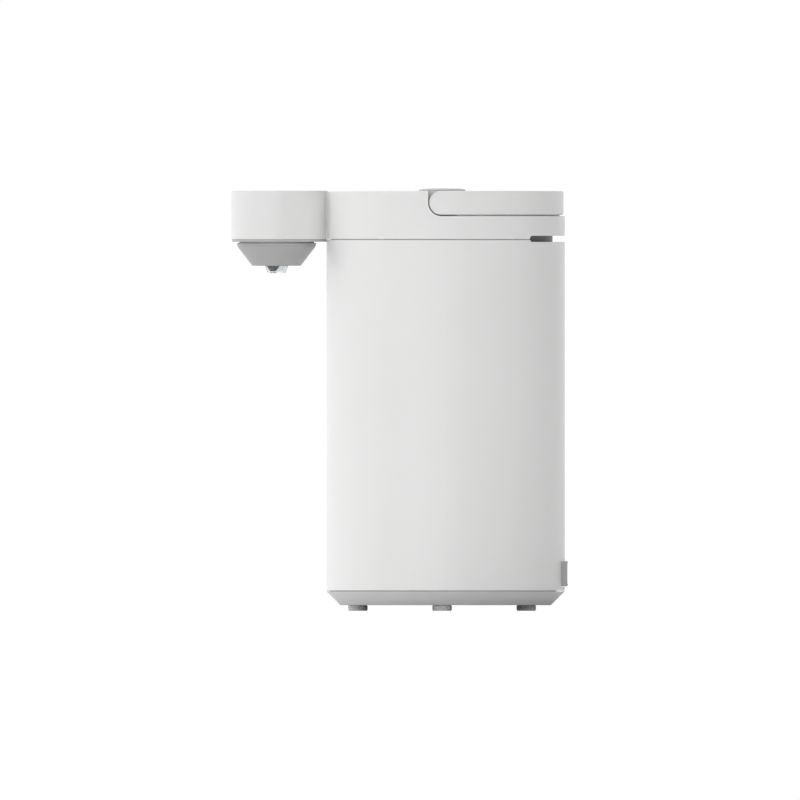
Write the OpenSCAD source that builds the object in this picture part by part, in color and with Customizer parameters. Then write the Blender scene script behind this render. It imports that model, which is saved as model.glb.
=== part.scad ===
// Electric thermo pot with an overhanging dispensing head, a flush carry handle and a hinged lid.
// Origin: on the table, midway across the outline. Front is -Y, up is +Z. Millimetres.

/* [Body] */
// outer diameter of the casing
body_d = 200; // [180:1:240]
// height of the plain casing
casing_h = 294.4; // [245:0.1:355]
// casing wall
casing_t = 2.5; // [2:0.1:3]
// height of the chamfered base skirt
skirt_h = 11.7; // [10:0.1:14]
// how far feet, liner, lid and handle sit in front of the casing axis
core_shift = 3; // [0:0.1:4]

/* [Feet] */
// foot diameter
foot_d = 16.4; // [13:0.1:20]
// height the pot stands above the table
foot_h = 4.7; // [4:0.1:7]
// radius of the circle the feet stand on
foot_circle_r = 70.6; // [66:0.1:74]

/* [Top housing] */
// height from the casing's top edge to the deck
top_h = 41; // [40:0.1:46]
// deck thickness
deck_t = 3; // [2.5:0.1:3.5]
// side wall of the housing and the head
shell_t = 2.5; // [2:0.1:3]
// lower edge of the rear vent, below the casing's top edge
vent_drop = 1.9; // [1.5:0.1:2.1]
// height of the rear vent
vent_h = 5.1; // [4.4:0.1:5.6]
// half of the angle that the rear vent covers
vent_half_angle = 43.5; // [30:0.5:46]

/* [Head] */
// reach of the head in front of the casing
head_reach = 79.9; // [72:0.1:96]
// radius of the head's round front
head_r = 35.5; // [32:0.1:40]
// distance from the casing to the centre of the head's rear round
rear_set = 27; // [22:0.1:28]
// angle at which each flank closes in towards the rear
head_taper = 20.5; // [8:0.5:22]
// width of the neck that joins the head to the ring
neck_w = 24; // [23:0.1:30]

/* [Spout] */
// distance of the outlet in front of the casing
spout_reach = 41.85; // [38:0.05:48]
// widest radius of the nozzle shroud
shroud_r = 33.3; // [31:0.1:33.5]
// height of the nozzle shroud
shroud_h = 19.1; // [16:0.1:23]
// length of the clear tip below the shroud
tip_drop = 6.1; // [5:0.1:7.5]

/* [Lid] */
// lid diameter
lid_d = 140; // [120:1:141]
// gap around the lid
lid_gap = 0.7; // [0.7:0.05:1]
// depth of the lid below the deck
lid_depth = 26.3; // [26.3:0.1:28]
// diameter of the round release button
button_d = 39.7; // [33:0.1:47]
// travel of the release button
button_travel = 3; // [2:0.1:3]

/* [Handle] */
// height of the handle band
handle_h = 20.3; // [17:0.1:21]
// thickness of the handle band
handle_w = 12; // [10:0.1:12.5]
// thickness of the handle's lower lip, outside the channel's upstand
handle_lip = 3; // [2.4:0.1:4]
// gap between the handle and its channel
handle_gap = 0.9; // [0.8:0.05:1.2]
// diameter of the handle's pivot studs
stud_d = 8; // [6.6:0.1:9]

/* [Liner] */
// liner sheet
liner_t = 1; // [0.8:0.1:1.4]
// width of the rim between the liner's mouth and the lid's edge
mouth_rim = 8; // [8:0.5:18]
// height of the liner's floor above the table
liner_z = 62; // [62:0.5:72]
// insulation thickness
insulation_t = 3; // [2:0.1:3]

/* [Pump] */
// radius of the pump's outside
pump_r = 22; // [20:0.1:24]
// number of impeller blades
blades = 6; // [4:1:7]
// bore of the water tubes
tube_bore = 6.4; // [5:0.1:7]

/* [Inlet] */
// width of the power inlet
inlet_w = 50; // [42:0.5:54]
// height of the power inlet
inlet_h = 21.3; // [18:0.1:22]
// how far the power inlet stands out behind the casing
inlet_proud = 2.5; // [1.5:0.1:4]

/* [Hidden] */
$fn = 96;
fit = 0.3;
slide = 0.05;
seam_low = 0.5;
seam_top = 0.4;

R = body_d / 2;
// casing axis, so that the outline is centred between the head's front and the inlet's rear
ay = ((R + head_reach) - (R + inlet_proud)) / 2;
// axis of the liner, the lid and the feet
cy = ay - core_shift;

skirt_z = foot_h;
skirt_top = foot_h + skirt_h;
casing_z = skirt_top + seam_low;
casing_top = casing_z + casing_h;
top_z = casing_top + seam_top;
zt = casing_top + top_h;
zd = zt - deck_t;

lid_r = lid_d / 2;
well_r = lid_r + 2;
mouth_r = lid_r - mouth_rim;
flange_z = zt - lid_depth - 4;
hinge_y = cy + lid_r + 6;
hinge_z = zt - 4.3;
knuckle_r = 4.3;
knuckle_x = 24;
steam_z = zt - 18;
bolt_z = zt - 20.8;
bolt_t = 5;
lid_floor = zt - lid_depth;
button_floor = zt - 9.8 - button_travel;
valve_y = cy + (button_d / 2 + lid_r) / 2 - 2.925;

handle_ro = R - 1.1;
handle_ri = handle_ro - handle_w;
channel_r = handle_ri - handle_gap - 0.3;
pivot_y = ay - 3.6;
pivot_z = zt - handle_h / 2;
notch_r = handle_h / 2 + handle_gap;
lip_r = handle_ro - handle_lip - fit;
upstand_h = 2.1;
stud_r = stud_d / 2;

head_y = ay - R - head_reach + head_r;
rear_y = ay - R - rear_set;
rear_r = head_r - (rear_y - head_y) * sin(head_taper);
spout_y = ay - R - spout_reach;
plate_z = casing_top - 1.8;
shroud_z = casing_top - 2.85;
shroud_bottom = shroud_z - shroud_h;
tip_z = shroud_bottom - tip_drop;

liner_r = R - 19.5;
sleeve_r = liner_r + 0.5;
riser_y = ay - R + 8;
tube_r = tube_bore / 2 + 1.3;

pump_x = -(pump_r - 6.5);
pump_y = cy - 42;
outlet_z = 41;

// ---------- shared shapes ----------

module ring(ro, ri, z0, z1) {
  translate([0, 0, z0]) difference() {
    cylinder(r = ro, h = z1 - z0);
    translate([0, 0, -1]) cylinder(r = ri, h = z1 - z0 + 2);
  }
}

// draws a Y-Z outline across the whole width w
module across(w) {
  rotate([90, 0, 90]) linear_extrude(height = w, center = true) children();
}

// a box given by its corners
module block(a, b) {
  translate(a) cube(b - a);
}

// a rod along X from x0 to x1
module rod_x(x0, x1, y, z, r) {
  translate([x0, y, z]) rotate([0, 90, 0]) cylinder(r = r, h = x1 - x0);
}

// a rod along Y from y0 to y1
module rod_y(x, y0, y1, z, r) {
  translate([x, y0, z]) rotate([-90, 0, 0]) cylinder(r = r, h = y1 - y0);
}

// a quarter bend in the Y-Z plane, bend centre at y, z
module bend(y, z, a0, bend_r, r) {
  translate([0, y, z]) rotate([90, 0, 90]) rotate([0, 0, a0])
    rotate_extrude(angle = 90) translate([bend_r, 0]) circle(r, $fn = 32);
}

// plan of the head: a large front and a smaller rear circle joined by flanks just inside their tangents
module head_plan(inset = 0) {
  a = head_taper;
  rf = head_r - inset - 0.03;
  rr = rear_r - inset - 0.03;
  translate([0, head_y]) circle(head_r - inset);
  translate([0, rear_y]) circle(rear_r - inset);
  polygon([[rf * cos(a), head_y + rf * sin(a)], [rr * cos(a), rear_y + rr * sin(a)],
    [-rr * cos(a), rear_y + rr * sin(a)], [-rf * cos(a), head_y + rf * sin(a)]]);
}

// plan of the neck between the head and the ring
module neck_plan(inset = 0) {
  translate([inset - neck_w / 2, rear_y]) square([neck_w - 2 * inset, rear_set + 4]);
}

// Y-Z outline of the handle band with its round pivot end
module handle_outline() {
  translate([pivot_y, pivot_z]) circle(handle_h / 2);
  translate([pivot_y, zt - handle_h]) square([R + 20, handle_h]);
}

// Y-Z outline of the channel around the handle, grown by g
module channel_outline(g) {
  translate([pivot_y, pivot_z]) circle(notch_r + g);
  translate([pivot_y, pivot_z - notch_r - g]) square([R + 20, notch_r + g + 30]);
  translate([pivot_y - notch_r - g, pivot_z]) square([R + 20, 30]);
}

// a rectangle with round corners, for turned bands
module soft_band(r0, r1, z0, z1, c) {
  translate([r0, z0 + c]) square([r1 - r0, z1 - z0 - 2 * c]);
  translate([r0 + c, z0]) square([r1 - r0 - 2 * c, z1 - z0]);
  for (x = [r0 + c, r1 - c]) for (z = [z0 + c, z1 - c]) translate([x, z]) circle(c, $fn = 32);
}

// the rear vent: a curved slot with round ends
module vent_slot() {
  z = casing_top - vent_drop;
  r0 = R - 9.8;
  rotate([0, 0, 90 - vent_half_angle]) rotate_extrude(angle = 2 * vent_half_angle)
    translate([r0, z]) square([20, vent_h]);
  for (s = [-1, 1]) rotate([0, 0, 90 + s * vent_half_angle]) translate([r0, 0, z + vent_h / 2])
    rotate([0, 90, 0]) cylinder(r = vent_h / 2, h = 20);
}

// places its children on the four screw positions under the top housing
module at_posts() {
  for (a = [55, 125, 235, 305]) rotate([0, 0, a - 90]) translate([R - 5.7, 0, 0]) children();
}

// places its children on the four base screw positions
module at_corners() {
  for (x = [-55, 55]) for (y = [-55, 55]) translate([x, cy + y, 0]) children();
}

// places its children on the four screw positions in the lid
module at_lid_screws() {
  for (a = [55, 125, 205, 335]) translate([0, cy, 0]) rotate([0, 0, a]) translate([lid_r - 18, 0, 0]) children();
}

// ---------- outside ----------

module outer_casing() color("#ecedee") translate([0, ay, 0]) difference() {
  union() {
    rotate_extrude() polygon([[R - casing_t, casing_z], [R - 0.4, casing_z], [R, casing_z + 0.4],
      [R, casing_top - 0.6], [R - 0.6, casing_top], [R - casing_t, casing_top],
      [R - casing_t, casing_top - 4.9], [R - casing_t - 3.4, casing_top - 4.9],
      [R - casing_t - 3.4, casing_top - 6.1], [R - casing_t, casing_top - 8.5]]);
  }
  vent_slot();
  translate([0, riser_y - ay, casing_top - 9]) cylinder(r = 5.2, h = 12);
  at_posts() translate([0, 0, casing_top - 9]) cylinder(r = 3.1, h = 6);
  block([-inlet_w / 2 - fit, R - 14, skirt_top + 4.1 - fit],
    [inlet_w / 2 + fit, R + 5, skirt_top + 4.1 + inlet_h + fit]);
}

module base_skirt() color("#b9bbbc") difference() {
  union() {
    translate([0, ay, 0]) rotate_extrude() polygon([[0, skirt_z], [R - skirt_h, skirt_z], [R, skirt_top],
      [R - casing_t - fit, skirt_top], [R - casing_t - fit, skirt_top + 7.6],
      [R - casing_t - fit - 2.3, skirt_top + 7.6], [R - casing_t - fit - 2.3, skirt_top],
      [R - skirt_h - 2, skirt_z + 2.5], [0, skirt_z + 2.5]]);
    // board stand-offs
    for (x = [-40, 24]) for (y = [7, 53]) translate([x, cy + y, skirt_z + 2]) cylinder(r = 3.2, h = 9);
  }
  // inlet clearance in the spigot
  block([-inlet_w / 2 - 5, ay + 60, skirt_top - 0.2], [inlet_w / 2 + 5, ay + R - casing_t, skirt_top + 9]);
  at_corners() translate([0, 0, skirt_z - 1]) cylinder(r = 1.75, h = 5);
  at_corners() translate([0, 0, skirt_z - 1]) cylinder(r = 3.6, h = 2.2);
  for (a = [0:90:270]) translate([0, cy, 0]) rotate([0, 0, a]) translate([foot_circle_r, 0, skirt_z - 1])
    cylinder(r = 4.05, h = 5);
  // air inlets under the motor and the board
  for (x = [-27:9:9]) block([x, cy - 32, skirt_z - 1], [x + 3.5, cy - 8, skirt_z + 4]);
  for (x = [-32:10:18]) block([x, cy + 16, skirt_z - 1], [x + 3.5, cy + 44, skirt_z + 4]);
}

module rubber_feet() color("#cfd0d1")
  for (a = [0:90:270]) translate([0, cy, 0]) rotate([0, 0, a]) translate([foot_circle_r, 0, 0]) {
    rotate_extrude() polygon([[0, 0], [foot_d / 2 - 0.8, 0], [foot_d / 2, 0.8], [foot_d / 2, foot_h - 0.5],
      [foot_d / 2 - 0.5, foot_h], [4, foot_h], [4, foot_h + 2.6], [5.2, foot_h + 2.9], [3.2, foot_h + 4.4],
      [0, foot_h + 4.4]]);
  }

module base_screws() color("#8d9093") at_corners() {
  translate([0, 0, skirt_z + 0.1]) difference() {
    cylinder(r = 3.2, h = 1.1);
    translate([-2, -0.4, -0.1]) cube([4, 0.8, 0.7]);
    translate([-0.4, -2, -0.1]) cube([0.8, 4, 0.7]);
  }
  translate([0, 0, skirt_z + 1]) cylinder(r = 1.5, h = 14);
}

module top_housing() color("#f0f0f0") difference() {
  union() {
    // ring with its deck, open below; the head's cavity runs into it
    difference() {
      union() {
        translate([0, ay, 0]) rotate_extrude() polygon([[0, top_z], [R - 0.4, top_z], [R, top_z + 0.4],
          [R, zt - 0.8], [R - 0.8, zt], [0, zt]]);
        translate([0, 0, top_z]) linear_extrude(height = zt - top_z) {
          head_plan();
          neck_plan();
        }
      }
      translate([0, ay, top_z - 1]) cylinder(r = R - shell_t, h = zd - top_z + 1);
      translate([0, 0, top_z - 1]) linear_extrude(height = zd - top_z + 1) head_plan(shell_t);
      translate([0, 0, top_z - 2]) linear_extrude(height = zd - top_z - 1) neck_plan(shell_t);
    }
    // lid well
    translate([0, cy, 0]) ring(well_r + 2, well_r, flange_z + 1.6, zt - 1);
    // walls of the handle channel
    intersection() {
      translate([0, ay, 0]) ring(R - 0.8, channel_r - 2, top_z + 10, zt - 1);
      across(2 * R) channel_outline(2.5);
    }
    // screw posts
    translate([0, ay, 0]) at_posts() {
      translate([0, 0, casing_top + 1]) cylinder(r = 4, h = 16.4);
      translate([0, 0, casing_top - 2]) cylinder(r = 2.7, h = 5);
    }
    // hinge brackets
    for (s = [-1, 1]) block([s * 28 - 2.8, hinge_y - 5, zd - 9], [s * 28 + 2.8, hinge_y + 6, zd + 1]);
  }
  // lid opening, hinge pocket and keeper
  translate([0, cy, zt - 6]) cylinder(r = lid_r + lid_gap, h = 10);
  translate([0, cy, flange_z]) cylinder(r = well_r, h = zd - flange_z);
  block([-knuckle_x - 0.5, hinge_y - 14, zt - 9.3], [knuckle_x + 0.5, hinge_y + knuckle_r + 0.5, zt + 1]);
  rod_x(-32, 32, hinge_y, hinge_z, 1.8);
  block([-8, cy - well_r - 3, zt - 21.6], [8, cy - lid_r + 2, zt - 14.6]);
  rod_y(0, cy + lid_r - 6, cy + well_r + 3, steam_z, 5);
  // handle channel with its upstand and the pivot holes
  difference() {
    intersection() {
      translate([0, ay, 0]) ring(R + 5, channel_r, top_z, zt + 10);
      across(2 * R + 20) channel_outline(0);
    }
    intersection() {
      translate([0, ay, 0]) ring(lip_r, lip_r - 2.2, pivot_z - notch_r - 1, pivot_z - notch_r + upstand_h);
      block([-R, pivot_y + notch_r + 2, top_z], [R, ay + R, zt]);
    }
  }
  for (s = [-1, 1]) rod_x(s * (channel_r - 2) - 4, s * (channel_r - 2) + 4, pivot_y, pivot_z, stud_r + 2.05);
  // rear vent and screw holes
  translate([0, ay, 0]) vent_slot();
  translate([0, ay, 0]) at_posts() translate([0, 0, casing_top - 3]) cylinder(r = 1.55, h = 14);
  // recess and window for the control panel
  translate([0, 0, zt - 1.8]) linear_extrude(height = 4) head_plan(5);
  block([-13, head_y - 12, zd - 1], [13, head_y + 8, zt]);
  translate([0, head_y + 22, zd - 1]) cylinder(r = 6, h = 4);
}

module top_screws() color("#8d9093") translate([0, ay, 0]) at_posts() {
  translate([0, 0, casing_top - 6.9]) cylinder(r = 2.75, h = 2.2);
  translate([0, 0, casing_top - 5]) cylinder(r = 1.5, h = 14);
}

module underside_plate() color("#b4b6b7") difference() {
  union() {
    // flush rim over a slightly smaller face
    translate([0, 0, plate_z + 0.9]) linear_extrude(height = top_z - plate_z - 1) {
      head_plan(0.4);
      neck_plan(0.4);
    }
    translate([0, 0, plate_z]) linear_extrude(height = 1.2) {
      head_plan(1.1);
      neck_plan(1.1);
    }
    difference() {
      translate([0, 0, plate_z]) linear_extrude(height = 7) head_plan(shell_t + fit);
      translate([0, 0, plate_z - 1]) linear_extrude(height = 9) head_plan(shell_t + fit + 1.6);
    }
    translate([0, spout_y, 0]) ring(shroud_r - 1.8, shroud_r - 3.8, shroud_z - 1.9, plate_z + 1);
  }
  translate([0, ay, plate_z - 5]) cylinder(r = R + fit, h = 20);
  translate([0, spout_y, plate_z - 5]) cylinder(r = shroud_r - 5.8, h = 10);
}

module nozzle_shroud() color("#adafb0") translate([0, spout_y, 0]) {
  b = shroud_bottom;
  t = shroud_z;
  rotate_extrude() polygon([[shroud_r - 1.5, t], [shroud_r - 0.3, t], [shroud_r, t - 0.3],
    [shroud_r - 0.1, t - 1.4], [shroud_r - 0.9, t - 3.4], [20.4, b], [10.2, b], [10.2, b + 1.9],
    [19.3, b + 1.9], [shroud_r - 1.5, t - 2.2]]);
}

module spout_tip() color("#dfe8ec", 0.5) translate([0, spout_y, 0]) {
  b = shroud_bottom;
  rotate_extrude() polygon([[9.1, b + 3.7], [13, b + 3.7], [13, b + 2.2], [9.9, b + 2.2], [9.9, b],
    [7.7, tip_z + 0.6], [7.1, tip_z], [6.2, tip_z], [9.1, b]]);
}

// insert with a forward funnel: the jet leaves ahead of the pipe
module nozzle_insert() color("#3a3c3e") translate([0, spout_y, 0]) {
  b = shroud_bottom;
  y = -2.9;
  difference() {
    union() {
      rotate_extrude() polygon([[0, b + 12], [4.4, b + 12], [4.4, b + 5.5], [12, b + 5.5], [12, b + 4],
        [0, b + 4]]);
      translate([0, y, b - 0.1]) cylinder(r = 5.9, h = 4.5);
      translate([0, y, tip_z + 1.4]) cylinder(r1 = 2.4, r2 = 5.9, h = b - 0.1 - tip_z - 1.4);
    }
    translate([0, 0, b + 2.4]) cylinder(r = 2.4, h = 12);
    translate([0, y, tip_z]) cylinder(r = 1.6, h = b + 5 - tip_z);
    block([-1.6, y, b + 2.6], [1.6, 0, b + 4.8]);
  }
}

// ---------- control panel ----------

module control_panel() color("#22262a")
  translate([0, 0, zt - 1.7]) linear_extrude(height = 1.5) head_plan(5 + fit);

module display_board() color("#2f6b46") {
  z = zd - 6.5;
  difference() {
    union() {
      translate([0, 0, z]) linear_extrude(height = 1.6) head_plan(shell_t + 1);
      // digit block and touch pad raised to the glass
      block([-12, head_y - 11, z + 1], [12, head_y + 7, zd + 0.8]);
      translate([0, head_y + 22, z + 1]) cylinder(r = 5.4, h = zd - z - 0.2);
      block([-11, head_y + 32, z - 6], [11, head_y + 39, z + 0.5]);
    }
    for (x = [-11.2:6.4:8]) block([x, head_y - 9, zd - 0.2], [x + 4.6, head_y + 5, zd + 2]);
  }
}

// ---------- lid ----------

module lid() color("#f2f2f2") difference() {
  union() {
    translate([0, cy, 0]) rotate_extrude() polygon([[0, zt - 2.8], [lid_r, zt - 2.8], [lid_r, zt - 0.4],
      [lid_r - 0.4, zt], [0, zt]]);
    translate([0, cy, 0]) ring(lid_r - 4, lid_r - 6, zt - lid_depth + 2, zt - 1);
    // button well with its floor
    translate([0, cy, 0]) ring(button_d / 2 + 2.5, button_d / 2 + fit, button_floor - 1.2, zt - 1);
    translate([0, cy, button_floor - 2]) cylinder(r = button_d / 2 + 2.5, h = 2);
    // bolt rails
    for (s = [-1, 1]) {
      block([s * 8.4 - 1, cy - lid_r + 5, zt - 21], [s * 8.4 + 1, cy + 14, zt - 14]);
      block([s * 8.4 - 1, cy - lid_r + 5, zt - 16], [s * 8.4 + 1, cy - button_d / 2 - 1, zt - 2]);
    }
    // stiffening ribs
    for (a = [35, 80, 100, 145, 190, 350]) translate([0, cy, 0]) rotate([0, 0, a])
      block([button_d / 2 + 1, -0.9, zt - 14], [lid_r - 5, 0.9, zt - 1]);
    // screw bosses
    at_lid_screws() translate([0, 0, lid_floor + 2.3]) cylinder(r = 3.4, h = lid_depth - 4);
    // arm and knuckle of the hinge
    block([-knuckle_x, cy + lid_r - 10, zt - 2.8], [knuckle_x, hinge_y, zt]);
    rod_x(-knuckle_x, knuckle_x, hinge_y, hinge_z, knuckle_r);
  }
  rod_x(-knuckle_x - 1, knuckle_x + 1, hinge_y, hinge_z, 1.75 + slide);
  translate([0, cy, button_floor]) cylinder(r = button_d / 2 + fit, h = 20);
  translate([0, cy, zt - 16]) cylinder(r = 7, h = 8);
  // openings for the bolt and the steam pipe in the skirt
  block([-7.3, cy - lid_r - 1, zt - 21.1], [7.3, cy - lid_r + 8, zt - 15.5]);
  rod_y(0, cy + lid_r - 8, cy + lid_r, steam_z, 4.1);
  at_lid_screws() translate([0, 0, lid_floor + 1]) cylinder(r = 1.3, h = 14);
}

module lid_base() color("#e4e5e6") difference() {
  translate([0, cy, 0]) {
    translate([0, 0, lid_floor]) cylinder(r = lid_r - 4, h = 2);
    ring(lid_r - 6.3, lid_r - 8, lid_floor + 1, lid_floor + 4.3);
    // runners under the bolt
    for (s = [-1, 1]) block([s * 5.4 - 1, -lid_r + 10, lid_floor + 1], [s * 5.4 + 1, -16, bolt_z - 0.2]);
  }
  at_lid_screws() translate([0, 0, lid_floor - 1]) cylinder(r = 1.45, h = 4);
  at_lid_screws() translate([0, 0, lid_floor - 1]) cylinder(r = 2.6, h = 2);
  translate([0, valve_y, lid_floor - 1]) cylinder(r = 4.6, h = 4);
}

module lid_screws() color("#8d9093") at_lid_screws() {
  translate([0, 0, lid_floor + 0.1]) cylinder(r = 2.4, h = 0.9);
  translate([0, 0, lid_floor + 0.9]) cylinder(r = 1.25, h = 10);
}

module lid_inner_cover() color("#c9cbcc") difference() {
  translate([0, cy, lid_floor]) rotate_extrude() polygon([[0, -1], [mouth_r - 0.6, -1], [mouth_r - 0.6, -3.2],
    [mouth_r + 0.2, -3.2], [mouth_r + 0.2, 0], [0, 0]]);
  for (a = [0:45:315]) translate([0, valve_y, lid_floor - 2]) rotate([0, 0, a]) translate([2.7, 0, 0])
    cylinder(r = 0.9, h = 4);
}

module lid_gasket() color("#d8dadb") translate([0, cy, lid_floor]) rotate_extrude()
  polygon([[mouth_r + 0.5, 0], [lid_r - 4, 0], [lid_r - 4, -2], [lid_r - 3, -3.2], [lid_r - 3, -3.7],
    [mouth_r + 1, -3.7], [mouth_r + 0.5, -3]]);

// steam valve: cup over the steam holes with a pipe towards the rear
module steam_valve() color("#c4c6c8") difference() {
  union() {
    translate([0, valve_y, lid_floor + 2.2]) cylinder(r = 9, h = 9.5);
    translate([0, valve_y, lid_floor + 0.2]) cylinder(r = 4.5, h = 3);
    rod_y(0, valve_y + 6, cy + lid_r - 4.6, steam_z, 3.6);
  }
  translate([0, valve_y, lid_floor + 3.6]) cylinder(r = 7.6, h = 6.6);
  translate([0, valve_y, lid_floor - 1]) cylinder(r = 3.2, h = 6);
  rod_y(0, valve_y + 4, cy + lid_r, steam_z, 2.4);
}

// duct from the lid well down to the rear vent
module steam_duct() color("#5b5e60") difference() {
  b = casing_top - vent_drop + 0.4;
  union() {
    rod_y(0, cy + well_r - 0.5, cy + well_r + 5, steam_z, 4.7);
    block([-8, cy + well_r + 3, b], [8, cy + well_r + 12, steam_z + 5.4]);
    block([-8, cy + well_r + 3, b], [8, ay + R - 10.4, b + vent_h - 0.8]);
  }
  rod_y(0, cy + well_r - 1, cy + well_r + 6, steam_z, 3.4);
  block([-6.6, cy + well_r + 4.5, b + 1], [6.6, cy + well_r + 10.6, steam_z + 4]);
  block([-6.6, cy + well_r + 4.5, b + 1], [6.6, ay + R, b + vent_h - 1.8]);
}

module lid_button() color("#a9abac") {
  r = button_d / 2;
  translate([0, cy, 0]) difference() {
    rotate_extrude() polygon([[0, zt + 2.2], [r * 0.5, zt + 2.1], [r * 0.8, zt + 1.8], [r - 1.2, zt + 1.3],
      [r - 0.3, zt + 0.9], [r, zt + 0.3], [r, zt - 8], [r - 1.5, zt - 8], [r - 1.5, zt - 2], [0, zt - 2]]);
  }
  translate([0, cy, zt - 12.4]) cylinder(r = 6, h = 11);
  // slanted foot that drives the bolt
  translate([0, cy, bolt_z + 0.4]) across(5)
    polygon([[-6.25, 0], [-2.25, 0], [6.25, 8.5], [2.25, 8.5]]);
}

// a coil of round wire, turns of pitch p, mean radius cr, wire radius wr
module coil(cr, wr, h, turns) {
  n = 24;
  m = 8;
  last = n * turns;
  points = [for (i = [0:last]) for (j = [0:m - 1])
    let (a = 360 * i / n, b = 360 * j / m, rr = cr + wr * cos(b))
    [rr * cos(a), rr * sin(a), wr + (h - 2 * wr) * i / last + wr * sin(b)]];
  sides = [for (i = [0:last - 1]) for (j = [0:m - 1]) let (k = (j + 1) % m)
    [i * m + j, (i + 1) * m + j, (i + 1) * m + k, i * m + k]];
  polyhedron(points, concat(sides, [[for (j = [0:m - 1]) j]], [[for (j = [m - 1:-1:0]) last * m + j]]));
}

module button_spring() color("#9a9da0") translate([0, cy, button_floor + 0.1])
  coil(8.6, 0.6, zt - 2.2 - button_floor, 4);

module latch_bolt() color("#dcdddd") difference() {
  w = 7;
  union() {
    block([-w, cy - lid_r + 3, bolt_z], [w, cy + 13, bolt_z + bolt_t]);
    // nose, sloped on top so that the lid shuts by itself
    translate([0, cy, bolt_z]) across(2 * w) polygon([[-lid_r + 4, 0], [-lid_r + 1, 0], [-lid_r + 1, 2],
      [-lid_r + 4, bolt_t]]);
  }
  translate([0, cy, bolt_z]) across(5.6) polygon([[-7.47, -0.4], [-2.63, -0.4], [3.17, 5.4], [-1.67, 5.4]]);
  block([-2.5, cy - 52, bolt_z + 1.5], [2.5, cy - 22, bolt_z + 6]);
}

module lid_hinge_pin() color("#8d9093") rod_x(-31.6, 31.6, hinge_y, hinge_z, 1.75);

// ---------- handle ----------

module handle() color("#f0f0f0") difference() {
  union() {
    intersection() {
      translate([0, ay, 0]) rotate_extrude() soft_band(handle_ri, handle_ro, zt - handle_h, zt, 1.5);
      across(2 * R + 20) handle_outline();
    }
    for (s = [-1, 1]) rod_x(s * (handle_ri - 3) - 3.6, s * (handle_ri - 3) + 3.6, pivot_y, pivot_z, stud_r);
  }
  // rebate over the channel's upstand
  intersection() {
    translate([0, ay, 0]) ring(lip_r + fit, handle_ri - 5, zt - handle_h - 1,
      zt - handle_h - handle_gap + upstand_h + 0.8);
    block([-R, pivot_y + handle_h / 2 + 0.5, top_z], [R, ay + R, zt]);
  }
  for (s = [-1, 1]) rod_x(s * (handle_ri - 4) - 5, s * (handle_ri - 4) + 5, pivot_y, pivot_z, 1.55);
}

module handle_bushes() color("#c9cacb") for (s = [-1, 1]) difference() {
  union() {
    rod_x(s * (channel_r - 2.4) - 2.4, s * (channel_r - 2.4) + 2.4, pivot_y, pivot_z, stud_r + 2);
    rod_x(s * (channel_r - 4.4) - 0.9, s * (channel_r - 4.4) + 0.9, pivot_y, pivot_z, stud_r + 2.8);
  }
  rod_x(s * channel_r - 10, s * channel_r + 10, pivot_y, pivot_z, stud_r + slide);
}

module handle_screws() color("#8d9093") for (s = [-1, 1]) {
  rod_x(s * (handle_ri - 8.1) - 1, s * (handle_ri - 8.1) + 1, pivot_y, pivot_z, 3.6);
  rod_x(s * (handle_ri - 4.1) - 4, s * (handle_ri - 4.1) + 4, pivot_y, pivot_z, 1.5);
}

// ---------- liner and its carriers ----------

module neck_ring() color("#d9dadb") {
  b = casing_top - 4.6;
  t = flange_z - liner_t - 0.1;
  difference() {
    union() {
      translate([0, ay, 0]) ring(R - 10, R - 12, b, t);
      translate([0, ay, 0]) ring(R - 2.8, R - 11, b, b + 2.3);
      translate([0, ay, t - 2.5]) cylinder(r = R - 10, h = 2.5);
    }
    translate([0, cy, b]) cylinder(r = mouth_r + 2, h = t - b + 2);
    // passage for the head pipe and the panel cable
    block([-11, ay - R, b - 1], [11, ay - R + 16, t + 1]);
    // passage for the steam duct
    block([-8.6, ay + R - 13, b + 2.3], [8.6, ay + R - 9, b + 8.1]);
    block([-8.6, cy + well_r + 2.4, b + 4], [8.6, cy + well_r + 12.6, t + 1]);
    translate([0, ay, 0]) at_posts() translate([0, 0, b - 1]) cylinder(r = 1.7, h = 5);
  }
}

module liner_seal() color("#d8dadb") translate([0, cy, 0])
  ring(well_r + 2, well_r - 2.5, flange_z + 0.1, flange_z + 1.5);

module inner_liner() color("#c4c7ca") translate([0, cy, 0]) difference() {
  t = liner_t;
  c = 12;
  shoulder = zt - 52;
  neck = zt - 40;
  f = flange_z;
  sweep = [for (a = [0:15:90]) [sin(a), 1 - cos(a)]];
  union() {
    rotate_extrude() polygon(concat(
      [[0, liner_z]],
      [for (p = sweep) [liner_r - c + c * p[0], liner_z + c * p[1]]],
      [[liner_r, shoulder], [liner_r - 1.5, shoulder + 3.5], [mouth_r + t + 1, neck - 1.5], [mouth_r + t, neck],
       [mouth_r + t, f - t], [well_r + 2, f - t], [well_r + 2, f], [mouth_r, f], [mouth_r, neck],
       [mouth_r + 0.8, neck - 2], [liner_r - 1.5 - t, shoulder + 2.8], [liner_r - t, shoulder]],
      [for (i = [len(sweep) - 1:-1:0]) [liner_r - c + (c - t) * sweep[i][0], liner_z + t + (c - t) * sweep[i][1]]],
      [[0, liner_z + t]]));
    translate([pump_x, pump_y - cy, liner_z - 7]) cylinder(r = tube_r, h = 7.5);
  }
  translate([pump_x, pump_y - cy, liner_z - 8]) cylinder(r = tube_bore / 2, h = 12);
  translate([-18, 0, liner_z - 1]) cylinder(r = 2.8, h = 3);
}

module insulation_sleeve() color("#b9b39f") translate([0, cy, 0])
  ring(sleeve_r + insulation_t, sleeve_r, liner_z + 6.3, zt - 54);

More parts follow.
